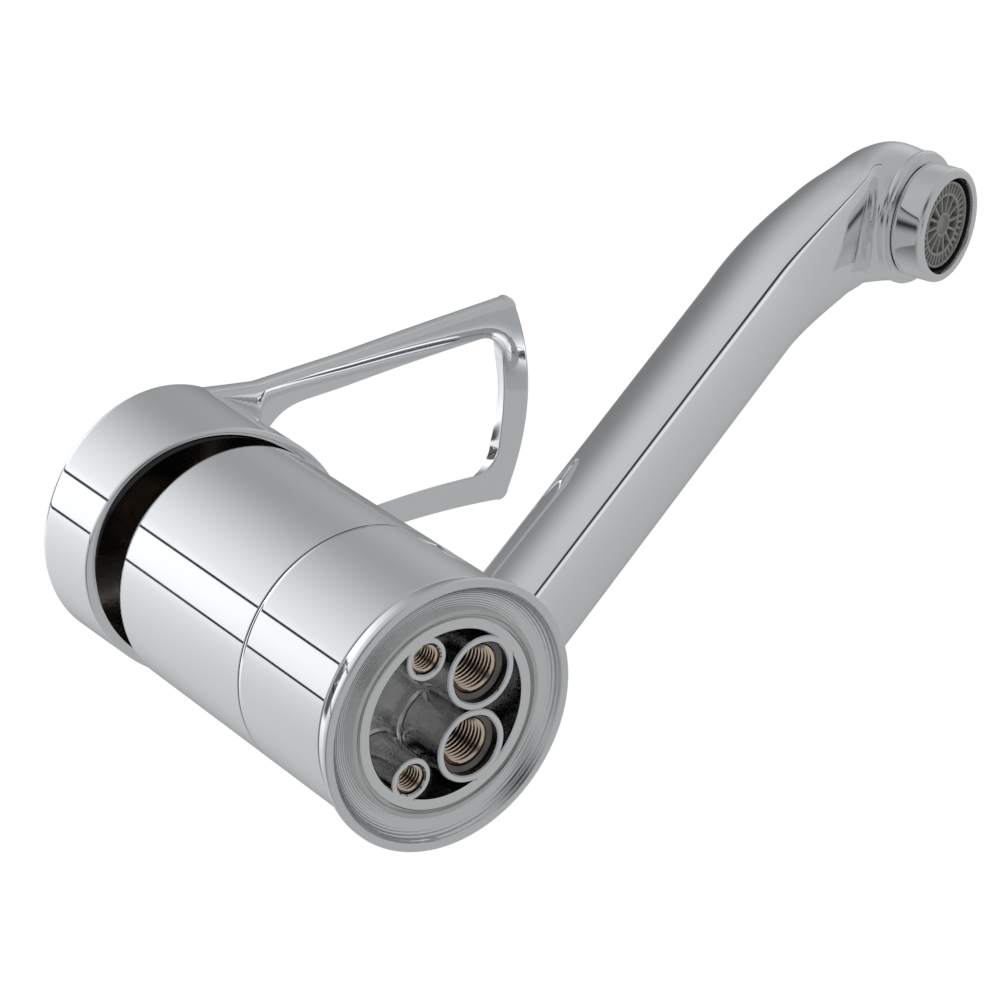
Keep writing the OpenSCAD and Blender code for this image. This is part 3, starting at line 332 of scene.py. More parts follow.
def combine(piece, other, operation):
    pick_only(piece)
    modifier = piece.modifiers.new("combine", "BOOLEAN")
    modifier.operation = operation
    modifier.solver = "EXACT"
    modifier.object = other
    bpy.ops.object.modifier_apply(modifier=modifier.name)
    bpy.data.objects.remove(other, do_unlink=True)


def round_edges(piece, width, segments=2, angle=32):
    pick_only(piece)
    modifier = piece.modifiers.new("round", "BEVEL")
    modifier.width = width * MM
    modifier.segments = segments
    modifier.limit_method = "ANGLE"
    modifier.angle_limit = math.radians(angle)
    modifier.miter_outer = "MITER_ARC"
    bpy.ops.object.modifier_apply(modifier=modifier.name)


def place(piece, offset=(0, 0, 0), turn=(0, 0, 0)):
    """Moves and turns a piece, in millimetres and degrees, and keeps its object at the origin."""
    pick_only(piece)
    piece.location = [v * MM for v in offset]
    piece.rotation_euler = [math.radians(v) for v in turn]
    bpy.ops.object.transform_apply(location=True, rotation=True, scale=True)


def fit(piece, body, nodes, material, angle=32):
    """Smooths a finished piece, gives it its material and hands it to its body."""
    pick_only(piece)
    bpy.ops.object.shade_smooth_by_angle(angle=math.radians(angle))
    if not piece.data.materials:
        piece.data.materials.append(material)
    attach(piece, body)
    if nodes:
        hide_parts(*nodes)


def bar(name, radius, low, high, steps=96):
    return spun(name, [(0, low), (radius, low), (radius, high), (0, high)], steps)


def arc(mid_r, mid_z, radius, start, end, steps):
    """Points along a round, from one angle to another in degrees, as (radius, height)."""
    angles = [math.radians(start + (end - start) * i / steps) for i in range(steps + 1)]
    return [(mid_r + radius * math.cos(a), mid_z + radius * math.sin(a)) for a in angles]


# Body casting: cast brass, machined and chrome-plated, with a rough hollow under its foot that holds
# the bosses of the two hose ports and the two stud holes.
COLUMN_R, COLUMN_TOP, SEAM_Z = 25.0, 74.4, 31.2
SPIGOT_R, GALLERY_R, FOOT_R, SNAP_GROOVE_R = 20.6, 18.3, 18.6, 17.9
FACE_Z, HOLLOW_R, HOLLOW_TOP = 1.0, 16.5, 13.5
CHAMBER_Z, CHAMBER_R, NUT_R, NUT_SEAT_Z = 37.5, 20.2, 21.5, 65.8
PORT_TURN = 6.0
INLET_PLACE, STUD_PLACE = (6.5, 7.2), (-6.1, 11.7)
LINER_T = 0.25
BOSS_Z = FACE_Z + 0.04
groove_steps = []
for low, high in ((7.5, 10.3), (11.2, 22.6), (24.8, 27.6)):
    groove_steps += [(SPIGOT_R, low), (GALLERY_R, low), (GALLERY_R, high), (SPIGOT_R, high)]
casting = spun("body_casting_shell", [
    (0, HOLLOW_TOP), (HOLLOW_R - 1.2, HOLLOW_TOP), (HOLLOW_R - 0.35, HOLLOW_TOP - 0.35),
    (HOLLOW_R, HOLLOW_TOP - 1.2), (HOLLOW_R, FACE_Z + 0.25), (HOLLOW_R + 0.25, FACE_Z),
    (FOOT_R - 0.2, FACE_Z), (FOOT_R, FACE_Z + 0.2), (FOOT_R, 1.85),
    (SNAP_GROOVE_R, 1.85), (SNAP_GROOVE_R, 3.05), (FOOT_R, 3.05), (FOOT_R, 6.3), (SPIGOT_R, 6.3),
    *groove_steps, (SPIGOT_R, SEAM_Z), (COLUMN_R - 0.12, SEAM_Z), (COLUMN_R, SEAM_Z + 0.12),
    *[(COLUMN_R, SEAM_Z + 0.5 + i * 8.2) for i in range(6)],
    (COLUMN_R, COLUMN_TOP - 2), (COLUMN_R - 0.8, COLUMN_TOP), (NUT_R, COLUMN_TOP),
    (NUT_R, NUT_SEAT_Z), (CHAMBER_R, NUT_SEAT_Z), (CHAMBER_R, CHAMBER_Z), (0, CHAMBER_Z)], steps=192)


def port_places(place_xy):
    turn = math.radians(PORT_TURN)
    return [(place_xy[0] * math.cos(turn) - side * place_xy[1] * math.sin(turn),
             place_xy[0] * math.sin(turn) + side * place_xy[1] * math.cos(turn)) for side in (1, -1)]


for where in port_places(INLET_PLACE):
    boss = spun("boss", [(0, BOSS_Z), (7.05, BOSS_Z), (7.3, BOSS_Z + 0.25), (7.75, 12.2), (8.1, 12.4),
                         (8.5, 12.5), (8.5, 14.5), (0, 14.5)], 72)
    place(boss, (*where, 0))
    combine(casting, boss, "UNION")
for where in port_places(STUD_PLACE):
    boss = spun("boss", [(0, BOSS_Z), (4.0, BOSS_Z), (4.2, BOSS_Z + 0.2), (4.65, 12.2), (4.95, 12.4),
                         (5.3, 12.5), (5.3, 14.5), (0, 14.5)], 60)
    place(boss, (*where, 0))
    combine(casting, boss, "UNION")
for where in port_places(INLET_PLACE):
    bore = spun("bore", [(0, 0), (6.5, 0), (6.5, FACE_Z - 0.3), (5.9, FACE_Z + 0.3), (5.9, 2.9),
                         (4.65 + LINER_T, 3.3), (4.65 + LINER_T, 13.9), (3.6, 14.6),
                         (3.6, CHAMBER_Z + 1), (0, CHAMBER_Z + 1)], 72)
    place(bore, (*where, 0))
    combine(casting, bore, "DIFFERENCE")
for where in port_places(STUD_PLACE):
    bore = spun("bore", [(0, 0), (3.4, 0), (3.4, FACE_Z - 0.15), (2.7 + LINER_T, FACE_Z + 0.35),
                         (2.7 + LINER_T, 16), (0, 17.4)], 60)
    place(bore, (*where, 0))
    combine(casting, bore, "DIFFERENCE")
cast_skin = finish("plated_casting", (0.86, 0.86, 0.87), 1.0, (0.08, 0.22), patch_size=260, grain=1300,
                   grain_depth=0.05, second=(0.40, 0.39, 0.385))
port_skin = finish("drilled_port", (0.26, 0.24, 0.225), 1.0, (0.10, 0.22), patch_size=300, grain=1500,
                   grain_depth=0.02, second=(0.09, 0.08, 0.075))
casting.data.materials.append(chrome)
casting.data.materials.append(cast_skin)
casting.data.materials.append(port_skin)
ports = [(x, y, 6.0) for x, y in port_places(INLET_PLACE)] + [(x, y, 3.1) for x, y in port_places(STUD_PLACE)]
for face in casting.data.polygons:
    middle = face.center / MM
    if any(math.hypot(middle.x - x, middle.y - y) < radius for x, y, radius in ports):
        face.material_index = 2
    elif math.hypot(middle.x, middle.y) < HOLLOW_R + 0.1 and FACE_Z + 0.1 < middle.z < HOLLOW_TOP + 0.1:
        face.material_index = 1
fit(casting, "column", ["body_casting"], chrome, angle=18)


# Port threads: brass cut bright by the tap, a helix of V grooves in each hose port and stud hole. The roots of the
# grooves get a near-black finish, which is painted shade where the groove lies in shadow.
thread_brass = finish("cut_brass", (0.95, 0.79, 0.65), 1.0, (0.10, 0.20), patch_size=300, grain=2500,
                      grain_depth=0.01, second=(0.72, 0.56, 0.44))
# Near-black brown for the thread roots: painted shade in the grooves, not the colour of cut brass.
thread_root_painted_shade = finish("thread_root_painted_shade", (0.16, 0.11, 0.08), 1.0, (0.25, 0.4), patch_size=300, grain=2500,
                     grain_depth=0.01)


def thread_liner(name, where, major_r, pitch, low, turns, depth):
    bpy.ops.object.select_all(action="DESELECT")
    bpy.ops.mesh.primitive_plane_add(size=MM, location=((major_r + 0.2) * MM, 0, low * MM))
    liner = bpy.context.object
    liner.name = liner.data.name = name
    bpy.ops.object.transform_apply(location=True)
    bpy.ops.object.mode_set(mode="EDIT")
    bpy.ops.mesh.select_all(action="SELECT")
    bpy.ops.mesh.merge(type="CENTER")
    for out, up in ((-0.2, 0.14), (-depth, 0.26), (0, 0.20), (depth, 0.26), (0.2, 0.14)):
        bpy.ops.mesh.extrude_region_move(TRANSFORM_OT_translate={"value": (out * MM, 0, up * pitch * MM)})
    bpy.ops.object.mode_set(mode="OBJECT")
    winding = liner.modifiers.new("winding", "SCREW")
    winding.steps = winding.render_steps = 36
    winding.screw_offset = pitch * MM
    winding.iterations = turns
    bpy.ops.object.modifier_apply(modifier=winding.name)
    bpy.ops.object.mode_set(mode="EDIT")
    for height, below in ((low + pitch, True), (low + turns * pitch, False)):
        bpy.ops.mesh.select_all(action="SELECT")
        bpy.ops.mesh.bisect(plane_co=(0, 0, height * MM), plane_no=(0, 0, 1), clear_inner=below,
                            clear_outer=not below)
    bpy.ops.object.mode_set(mode="OBJECT")
    liner.data.materials.append(thread_brass)
    liner.data.materials.append(thread_root_painted_shade)
    # Faces beyond the crest radius are the roots, and they take the painted shade.
    for face in liner.data.polygons:
        face.material_index = int(math.hypot(face.center.x, face.center.y) > (major_r + 0.02) * MM)
    wall = liner.modifiers.new("wall", "SOLIDIFY")
    wall.thickness = 0.04 * MM
    bpy.ops.object.modifier_apply(modifier=wall.name)
    place(liner, (*where, 0))
    tidy_normals(liner)
    return liner


for side, where in zip("ab", port_places(INLET_PLACE)):
    liner = thread_liner("hose_port_thread_" + side, where, 4.65, 1.0, 2.4, 11, 0.5)
    fit(liner, "column", None, thread_brass, angle=20)
for side, where in zip("ab", port_places(STUD_PLACE)):
    liner = thread_liner("stud_hole_thread_" + side, where, 2.7, 0.8, FACE_Z - 0.2, 18, 0.4)
    fit(liner, "column", None, thread_brass, angle=20)


# Foot ring: turned brass, chrome-plated, with a rolled lip and a dished underside that keeps the
# fine rings of the turning tool.
LIP_R = 26.4
foot_ring = spun("foot_ring", [
    (FOOT_R + 0.1, 3.0), (22.0, 3.0), (22.9, 2.7), (23.6, 2.15), (24.2, 1.35), (24.6, 0.55), (24.75, 0.2),
    (24.95, 0.0), *arc(LIP_R - 0.45, 0.45, 0.45, -90, 0, 5), *arc(LIP_R - 0.45, 1.35, 0.45, 0, 78, 5),
    (25.75, 1.95), (25.45, 2.3), (25.32, 2.75), (25.3, 3.9), (25.2, 4.12), (25.0, 4.2),
    (FOOT_R + 0.1, 4.2)], steps=192)
turned_chrome = finish("turned_chrome", (0.86, 0.865, 0.875), 1.0, (0.06, 0.12), patch_size=25, shade=0.03)
tree = turned_chrome.node_tree
from_axis = tree.nodes.new("ShaderNodeVectorMath")
from_axis.operation = "MULTIPLY"
from_axis.inputs[1].default_value = (1, 1, 0)
tree.links.new(tree.nodes.new("ShaderNodeTexCoord").outputs["Object"], from_axis.inputs[0])
radius_here = tree.nodes.new("ShaderNodeVectorMath")
radius_here.operation = "LENGTH"
tree.links.new(from_axis.outputs[0], radius_here.inputs[0])
tool_rings = add_math(tree, "SINE", add_math(tree, "MULTIPLY", radius_here.outputs["Value"], 14000))
inside_lip = add_ramp(tree, radius_here.outputs["Value"], 24.3 * MM, 24.9 * MM, 1, 0)
ring_bump = tree.nodes.new("ShaderNodeBump")
ring_bump.inputs["Distance"].default_value = 0.02 * MM
tree.links.new(add_math(tree, "MULTIPLY", tool_rings, inside_lip), ring_bump.inputs["Height"])
tree.links.new(ring_bump.outputs["Normal"], tree.nodes["Principled BSDF"].inputs["Normal"])
fit(foot_ring, "column", ["base_flange"], turned_chrome)


# Snap ring: sprung steel that holds the foot ring and the bearing up in their groove.
snap = spun("snap_ring_steel", [
    (17.95, 1.9), (19.3, 1.9), (19.3, 1.15), (19.42, 1.0), (20.05, 1.0), (20.2, 1.15), (20.2, 3.0),
    (17.95, 3.0)], steps=144)
ring_steel = finish("bright_steel", (0.72, 0.72, 0.71), 1.0, (0.14, 0.26), patch_size=150, grain=1800,
                    grain_depth=0.01, shade=0.15)
fit(snap, "column", ["snap_ring"], ring_steel)


# Dome cover: thin gloss-black moulding over the cartridge, seen in the gap under the lever's cap.
DOME_RIM_R, DOME_R, DOME_HOLE_R, DOME_WALL = 23.4, 30.0, 14.0, 0.8
dome_mid_z = COLUMN_TOP - math.sqrt(DOME_R ** 2 - DOME_RIM_R ** 2)
rim_angle = math.degrees(math.acos(DOME_RIM_R / DOME_R))
hole_angle = math.degrees(math.acos(DOME_HOLE_R / DOME_R))
dome_inner_r = DOME_R - DOME_WALL
inner_hole = math.degrees(math.acos(DOME_HOLE_R / dome_inner_r))
inner_rim = math.degrees(math.asin((COLUMN_TOP + DOME_WALL - dome_mid_z) / dome_inner_r))
dome = spun("dome_shell", arc(0, dome_mid_z, DOME_R, rim_angle, hole_angle, 18)
            + arc(0, dome_mid_z, dome_inner_r, inner_hole, inner_rim, 14)
            + [(20.6, COLUMN_TOP + DOME_WALL), (20.6, COLUMN_TOP - 0.6), (21.4, COLUMN_TOP - 0.6),
               (21.4, COLUMN_TOP)], steps=144)
gloss_black = finish("gloss_black_moulding", (0.014, 0.014, 0.016), 0.0, (0.08, 0.16), patch_size=120,
                     grain=900, grain_depth=0.004, second=(0.022, 0.02, 0.02))
fit(dome, "column", ["dome_cover"], gloss_black)


# Lever: one casting, polished and chrome-plated. A hollow drum covers the cartridge, and two arms run
# from its sloping top round a flat loop that rises towards the front.
CAP_AHEAD, CAP_LOW_R, CAP_WIDE_R, CAP_BORE_R = 0.9, 26.25, 26.5, 24.4
CAP_TOP_Z, CAP_TOP_SLOPE, CAP_RIM_Z, CAP_RIM_SLOPE = 104.2, 5.7, 79.4, 11.7
CAP_ROUND, CAP_CEILING_Z, HUB_R, HUB_Z, HUB_TOP = 1.6, 97.5, 8.5, 89.0, 99.1
SCREW_Z, SCREW_R, PLUG_R, PLUG_T = 93.2, 2.55, 3.25, 2.2
LOOP_CORNER = (96.8, 23.6)
LOOP_REACH, LOOP_WAIST, WAIST_X, ROOT = 101.5, 21.5, 50.0, (10.0, 24.1)
ROOT_POWER, ARM_W, ARM_FRONT_W, BAR_W, ROOT_WEB, WEB_X = 1.3, 6.9, 7.6, 7.2, 10.0, 39.0
LOOP_T, ROOT_SWELL, ROOT_DROP, LOOP_RISE, RISE_X = 4.0, 0.6, 3.7, 13.0, 24.0
CORNER_OUT_R, CORNER_IN_R, EDGE_R, INNER_EDGE_R, INNER_LEAN, BAR_LEAN = 2.0, 6.0, 1.3, 0.4, 3.2, 1.2

cap = spun("lever_casting", [
    (CAP_BORE_R, 0), (CAP_LOW_R - 0.35, 0), (CAP_LOW_R - 0.1, 0.1), (CAP_LOW_R, 0.35), (CAP_LOW_R, 0.9),
    (CAP_WIDE_R, CAP_TOP_Z - CAP_ROUND - 0.5), (CAP_WIDE_R, CAP_TOP_Z - CAP_ROUND),
    *arc(CAP_WIDE_R - CAP_ROUND, CAP_TOP_Z - CAP_ROUND, CAP_ROUND, 6, 84, 9),
    (CAP_WIDE_R - CAP_ROUND, CAP_TOP_Z), (18, CAP_TOP_Z), (9, CAP_TOP_Z), (0, CAP_TOP_Z),
    (0, CAP_CEILING_Z), (CAP_BORE_R, CAP_CEILING_Z)], steps=256)
place(cap, (CAP_AHEAD, 0, 0))
for vertex in cap.data.vertices:
    x = vertex.co.x / MM
    if vertex.co.z < 1 * MM:
        vertex.co.z += (CAP_RIM_Z - x * math.tan(math.radians(CAP_RIM_SLOPE))) * MM
    elif vertex.co.z > (CAP_TOP_Z - CAP_ROUND - 0.6) * MM:
        vertex.co.z += x * math.tan(math.radians(CAP_TOP_SLOPE)) * MM


def loop_out(x):
    """Half width of the loop at a distance ahead of the axis."""
    if x > WAIST_X:
        return LOOP_WAIST + (LOOP_CORNER[1] - LOOP_WAIST) * ((x - WAIST_X) / (LOOP_CORNER[0] - WAIST_X)) ** 2
    return LOOP_WAIST + (ROOT[1] - LOOP_WAIST) * ((WAIST_X - x) / (WAIST_X - ROOT[0])) ** ROOT_POWER


cap_front_x = CAP_AHEAD + math.sqrt(CAP_WIDE_R ** 2 - (ROOT[1] - ARM_W) ** 2)


def arm_width(x):
    ahead = max(0, (x - WAIST_X) / (LOOP_CORNER[0] - WAIST_X))
    web = min(1, max(0, (WEB_X - x) / (WEB_X - cap_front_x)))
    return ARM_W + (ARM_FRONT_W - ARM_W) * ahead ** 2 + ROOT_WEB * web ** 3


def loop_thick(x):
    return LOOP_T + ROOT_SWELL * max(0, (WEB_X - x) / (WEB_X - ROOT[0])) ** 2


def loop_under(x):
    rise = min(1, max(0, (x - RISE_X) / (LOOP_REACH - RISE_X)))
    return CAP_TOP_Z - ROOT_DROP + LOOP_RISE * (1 - (1 - rise) ** 2)


in_corner_x = LOOP_REACH - BAR_W - 0.6 - CORNER_IN_R
in_corner_y = loop_out(in_corner_x) - arm_width(in_corner_x) - CORNER_IN_R
out_corner_x = LOOP_CORNER[0] - CORNER_OUT_R
out_corner_y = LOOP_CORNER[1] - CORNER_OUT_R
ARM_STEPS, CORNER_STEPS, BAR_STEPS, EDGE_STEPS = 56, 20, 14, 6
pairs = []
for i in range(ARM_STEPS):
    x = ROOT[0] + (in_corner_x - ROOT[0]) * i / ARM_STEPS
    pairs.append(((x, loop_out(x)), (x, loop_out(x) - arm_width(x))))
for i in range(CORNER_STEPS + 1):
    share = i / CORNER_STEPS
    a = math.radians(90 - 90 * share)
    if share < 0.5:
        x = in_corner_x + (out_corner_x - in_corner_x) * share * 2
        outer = (x, loop_out(x))
    else:
        outer = (out_corner_x + CORNER_OUT_R * math.cos(2 * a), out_corner_y + CORNER_OUT_R * math.sin(2 * a))
    pairs.append((outer, (in_corner_x + CORNER_IN_R * math.cos(a), in_corner_y + CORNER_IN_R * math.sin(a))))
for i in range(1, BAR_STEPS + 1):
    t = 1 - i / BAR_STEPS
    pairs.append(((LOOP_REACH - (LOOP_REACH - LOOP_CORNER[0]) * t ** 2, out_corner_y * t),
                  (LOOP_REACH - BAR_W - 0.6 * t ** 2, in_corner_y * t)))
pairs += [((outer[0], -outer[1]), (inner[0], -inner[1])) for outer, inner in reversed(pairs[:-1])]


def loop_section(outer, inner):
    """One section of the loop: its outer side is upright and its inner side leans outward."""
    outer, inner = Vector(outer), Vector(inner)
    width = (outer - inner).length
    along = (outer - inner) / width
    thick = loop_thick(outer.x)
    lean_w = INNER_LEAN + (BAR_LEAN - INNER_LEAN) * min(1, max(0, (inner.x - in_corner_x) / CORNER_IN_R))
    lean = math.atan2(lean_w, thick)
    foot_at = INNER_EDGE_R * (1 + math.sin(lean)) / math.cos(lean)
    head_at = lean_w + INNER_EDGE_R * (1 - math.sin(lean)) / math.cos(lean)
    lean = math.degrees(lean)
    corners = ((width - EDGE_R, thick - EDGE_R, EDGE_R, 0, 90),
               (head_at, thick - INNER_EDGE_R, INNER_EDGE_R, 90, 180 - lean),
               (foot_at, INNER_EDGE_R, INNER_EDGE_R, 180 - lean, 270),
               (width - EDGE_R, EDGE_R, EDGE_R, 270, 360))
    points = []
    for mid, height, radius, start, end in corners:
        for out, up in arc(mid, height, radius, start, end, EDGE_STEPS):
            spot = inner + along * out
            points.append((spot.x, spot.y, loop_under(spot.x) + up))
    return points


loop = rolled_skin("loop", [loop_section(*pair) for pair in pairs])
combine(cap, loop, "UNION")
hub = bar("hub", HUB_R, HUB_Z, CAP_CEILING_Z + 1, 72)
combine(cap, hub, "UNION")
bpy.ops.mesh.primitive_cube_add(size=1, location=(0, 0, (HUB_Z - 1 + HUB_TOP) / 2 * MM),
                                scale=(8.2 * MM, 8.2 * MM, (HUB_TOP - HUB_Z + 1) * MM))
combine(cap, bpy.context.object, "DIFFERENCE")
for radius, start in ((SCREW_R, 5.0), (PLUG_R, CAP_AHEAD + CAP_WIDE_R - PLUG_T - 0.7)):
    hole = bar("hole", radius, start, 40, 48)
    place(hole, (0, 0, SCREW_Z), (0, 90, 0))
    combine(cap, hole, "DIFFERENCE")
# Inside the drum: unplated casting, dark brown drifting to near black. The darkness is partly painted shade in the
# hollow under the cap, so that the gap above the column reads black.
cap_inside_raw_and_painted_shade = finish("raw_casting_and_painted_shade", (0.22, 0.18, 0.15), 0.9, (0.12, 0.34), patch_size=150, grain=1200,
                    grain_depth=0.03, second=(0.05, 0.04, 0.035))
cap.data.materials.append(chrome)
cap.data.materials.append(cap_inside_raw_and_painted_shade)
# Faces inside the bore and under the ceiling take this finish with its painted shade.
for face in cap.data.polygons:
    middle = face.center / MM
    if math.hypot(middle.x - CAP_AHEAD, middle.y) < CAP_BORE_R + 0.1 and middle.z < CAP_CEILING_Z + 0.1:
        face.material_index = 1
fit(cap, "lever", ["lever_handle"], chrome, angle=28)


# Index plug: a small push-in disc that closes the grub screw's hole, slightly domed.
plug_start = CAP_AHEAD + CAP_WIDE_R - PLUG_T - 0.7
plug = spun("index_disc", [(0, 0), (2.9, 0), (3.15, 0.2), (3.15, 1.6), (2.95, 1.85), (2.2, 2.05), (1.1, 2.16),
                           (0, 2.2)], 64)
place(plug, (plug_start, 0, SCREW_Z), (0, 90, 0))
plug_grey = finish("index_grey", (0.20, 0.20, 0.21), 0.0, (0.22, 0.32), patch_size=400, grain=3000,
                   grain_depth=0.01)
fit(plug, "lever", ["index_plug"], plug_grey)


# Spout: a collar that turns on the casting, with a long tapering tube that rises, bends over and swells
# into the head without a seam. It is cast brass, polished and chrome-plated.
SPOUT_RISE, SPOUT_Z, SPOUT_START, SPOUT_RUN = 35.7, 1.9, 20.0, 215.0
ROOT_D, TIP_D, BEND_R, BEND_ANGLE, NECK_D = 19.9, 24.0, 335.0, 9.7, 27.8
NOD_R, NOD_ANGLE, END_D = 85.0, 20.2, 32.8
BELLY_SLOPE, BELLY_SQUARE = 1.6, 4.0
OUTLET_TILT, SOCKET_R, RIM_R, RIM_Z, RIM_H, HEAD_R, SWELL_L, DOME_H = 18.0, 16.5, 16.9, 8.5, 4.0, 17.7, 6.1, 14.8
COLLAR_LOW, COLLAR_HIGH, COLLAR_BORE_R, SEAT_R, SEAT_H = 4.5, 30.9, 20.8, 22.6, 1.7
rise = math.radians(SPOUT_RISE)
run_x, run_z = SPOUT_RUN * math.cos(rise), SPOUT_Z + SPOUT_RUN * math.sin(rise)
bend_x, bend_z = run_x + BEND_R * math.sin(rise), run_z - BEND_R * math.cos(rise)
nod_rise = math.radians(SPOUT_RISE - BEND_ANGLE)
nod_x = bend_x - (BEND_R - NOD_R) * math.sin(nod_rise)
nod_z = bend_z + (BEND_R - NOD_R) * math.cos(nod_rise)
end_rise = nod_rise - math.radians(NOD_ANGLE)
tilt = math.radians(OUTLET_TILT)
outlet_drop = RIM_Z + 8
outlet_x = nod_x - NOD_R * math.sin(end_rise) + outlet_drop * math.sin(tilt)
outlet_z = nod_z + NOD_R * math.cos(end_rise) - outlet_drop * math.cos(tilt)
SIDES = 96


def tube_ring(x, z, angle, top_r, half_width, depth, power):
    """One ring across the tube: round above, with a belly of its own depth and squareness below."""
    ring = []
    for i in range(SIDES):
        a = math.tau * i / SIDES
        c, s = math.cos(a), math.sin(a)
        if s < 0:
            across = half_width * math.copysign(abs(c) ** (2 / power), c)
            up = -depth * (-s) ** (2 / power)
        else:
            across, up = half_width * c, top_r * s
        ring.append((x - up * math.sin(angle), across, z + up * math.cos(angle)))
    return ring


def belly_depth(x, z, angle):
    along = x * math.cos(rise) + (z - SPOUT_Z) * math.sin(rise)
    above = (z - SPOUT_Z) * math.cos(rise) - x * math.sin(rise)
    drop = TIP_D / 2 + (along - SPOUT_RUN) * math.tan(math.radians(BELLY_SLOPE)) + above
    return drop / math.cos(rise - angle)


def bent_ring(mid_x, mid_z, radius, angle, r):
    x, z = mid_x - radius * math.sin(angle), mid_z + radius * math.cos(angle)
    depth = min(r, belly_depth(x, z, angle))
    return tube_ring(x, z, angle, r, r, depth, 2 + BELLY_SQUARE * (1 - depth / r))


rings = []
for i in range(21):
    s = SPOUT_START + (SPOUT_RUN - SPOUT_START) * i / 20
    r = (ROOT_D + (TIP_D - ROOT_D) * s / SPOUT_RUN) / 2
    rings.append(tube_ring(s * math.cos(rise), SPOUT_Z + s * math.sin(rise), rise, r, r, r, 2))
for i in range(1, 17):
    t = i / 16
    rings.append(bent_ring(bend_x, bend_z, BEND_R, rise + (nod_rise - rise) * t, (TIP_D + (NECK_D - TIP_D) * t) / 2))
# The nod ends where its ring meets the head's inner corner, and the elbow turns about that corner
ELBOW_RISE = 17.3
elbow_start = math.radians(ELBOW_RISE)
for i in range(1, 9):
    angle = nod_rise + (elbow_start - nod_rise) * i / 8
    t = (nod_rise - angle) / (nod_rise - end_rise)
    rings.append(bent_ring(nod_x, nod_z, NOD_R, angle, (NECK_D + (END_D - NECK_D) * t) / 2))
corner_r = 0.5
start_x, start_z = nod_x - NOD_R * math.sin(elbow_start), nod_z + NOD_R * math.cos(elbow_start)
start_r = (NECK_D + (END_D - NECK_D) * (nod_rise - elbow_start) / (nod_rise - end_rise)) / 2
start_belly = belly_depth(start_x, start_z, elbow_start)
corner_x = start_x + (start_belly + corner_r) * math.sin(elbow_start)
corner_z = start_z - (start_belly + corner_r) * math.cos(elbow_start)
corner_out = (outlet_x - corner_x) * math.cos(tilt) + (outlet_z - corner_z) * math.sin(tilt)
corner_up = (corner_z - outlet_z) * math.cos(tilt) - (corner_x - outlet_x) * math.sin(tilt)
ELBOW_ANGLE = 90 - OUTLET_TILT + ELBOW_RISE
# Angle of each elbow ring above the socket's plane, its full depth, its half width and its belly
ELBOW = [(ELBOW_ANGLE, start_r + start_belly, start_r, start_belly,
          2 + BELLY_SQUARE * (1 - start_belly / start_r)),
         (78, 22.0, 15.15, 6.6, 4.0), (66, 23.6, 15.45, 7.6, 3.4), (54, 26.8, 16.0, 9.6, 2.9),
         (42, 30.3, 16.7, 12.2, 2.5), (30, 33.1, 17.4, 15.0, 2.25), (21, 34.6, 17.6, 16.4, 2.1),
         (12, 34.9, 17.2, 16.8, 2.0), (6, 33.8, 16.75, 16.6, 2.0),
         (0, SOCKET_R + corner_out - corner_r, SOCKET_R, corner_out - corner_r, 2.0)]


def smooth_through(table, angle):
    """Values between the rows of a table, on a smooth curve through them."""
    rows = sorted(table)
    i = max(0, min(len(rows) - 2, sum(row[0] <= angle for row in rows) - 1))
    low, high = rows[i], rows[i + 1]
    before, after = rows[max(0, i - 1)], rows[min(len(rows) - 1, i + 2)]
    span = high[0] - low[0]
    t = (angle - low[0]) / span
    values = []
    for k in range(1, len(low)):
        m0 = (high[k] - before[k]) / (high[0] - before[0]) * span
        m1 = (after[k] - low[k]) / (after[0] - low[0]) * span
        values.append((2 * t ** 3 - 3 * t ** 2 + 1) * low[k] + (t ** 3 - 2 * t ** 2 + t) * m0
                      + (3 * t ** 2 - 2 * t ** 3) * high[k] + (t ** 3 - t ** 2) * m1)
    return values


ELBOW_STEPS, NOD_RINGS = 30, 8
elbow_from = len(rings) - NOD_RINGS
for i in range(1, ELBOW_STEPS + 1):
    above_socket = ELBOW_ANGLE * (1 - i / ELBOW_STEPS)
    full, half_width, belly, power = smooth_through(ELBOW, above_socket)
    angle = math.radians(above_socket) + tilt - math.pi / 2
    reach = belly + corner_r
    rings.append(tube_ring(corner_x - reach * math.sin(angle), corner_z + reach * math.cos(angle), angle,
                           full - belly, half_width, belly, power))


def socket_ring(height, radius):
    x, z = outlet_x - height * math.sin(tilt), outlet_z + height * math.cos(tilt)
    return tube_ring(x, z, tilt - math.pi / 2, radius, radius, radius, 2)


EASE_BACK, EASE_BELLY, TRACK_STEPS = 1.5, 3.6, 64


def point_at(track, lengths, length):
    i = max(0, min(len(track) - 2, bisect_right(lengths, length) - 1))
    span = lengths[i + 1] - lengths[i]
    return track[i].lerp(track[i + 1], (length - lengths[i]) / span if span else 0)


def eased(rings):
    """The same skin with even rings, its inner corner eased to a small fillet along each line of points."""
    columns = []
    for side, track in enumerate(zip(*rings)):
        ease = EASE_BACK + (EASE_BELLY - EASE_BACK) * (1 - math.sin(math.tau * side / SIDES)) / 2
        track = [Vector(point) for point in track]
        lengths = [0.0]
        for start, end in zip(track, track[1:]):
            lengths.append(lengths[-1] + (end - start).length)
        column = []
        for step in range(TRACK_STEPS + 1):
            length = lengths[-1] * step / TRACK_STEPS
            window = min(ease, length, lengths[-1] - length)
            near = [point_at(track, lengths, length + window * j / 4) for j in range(-4, 5)]
            column.append(sum(near, Vector()) / len(near))
        columns.append(column)
    return list(zip(*columns))


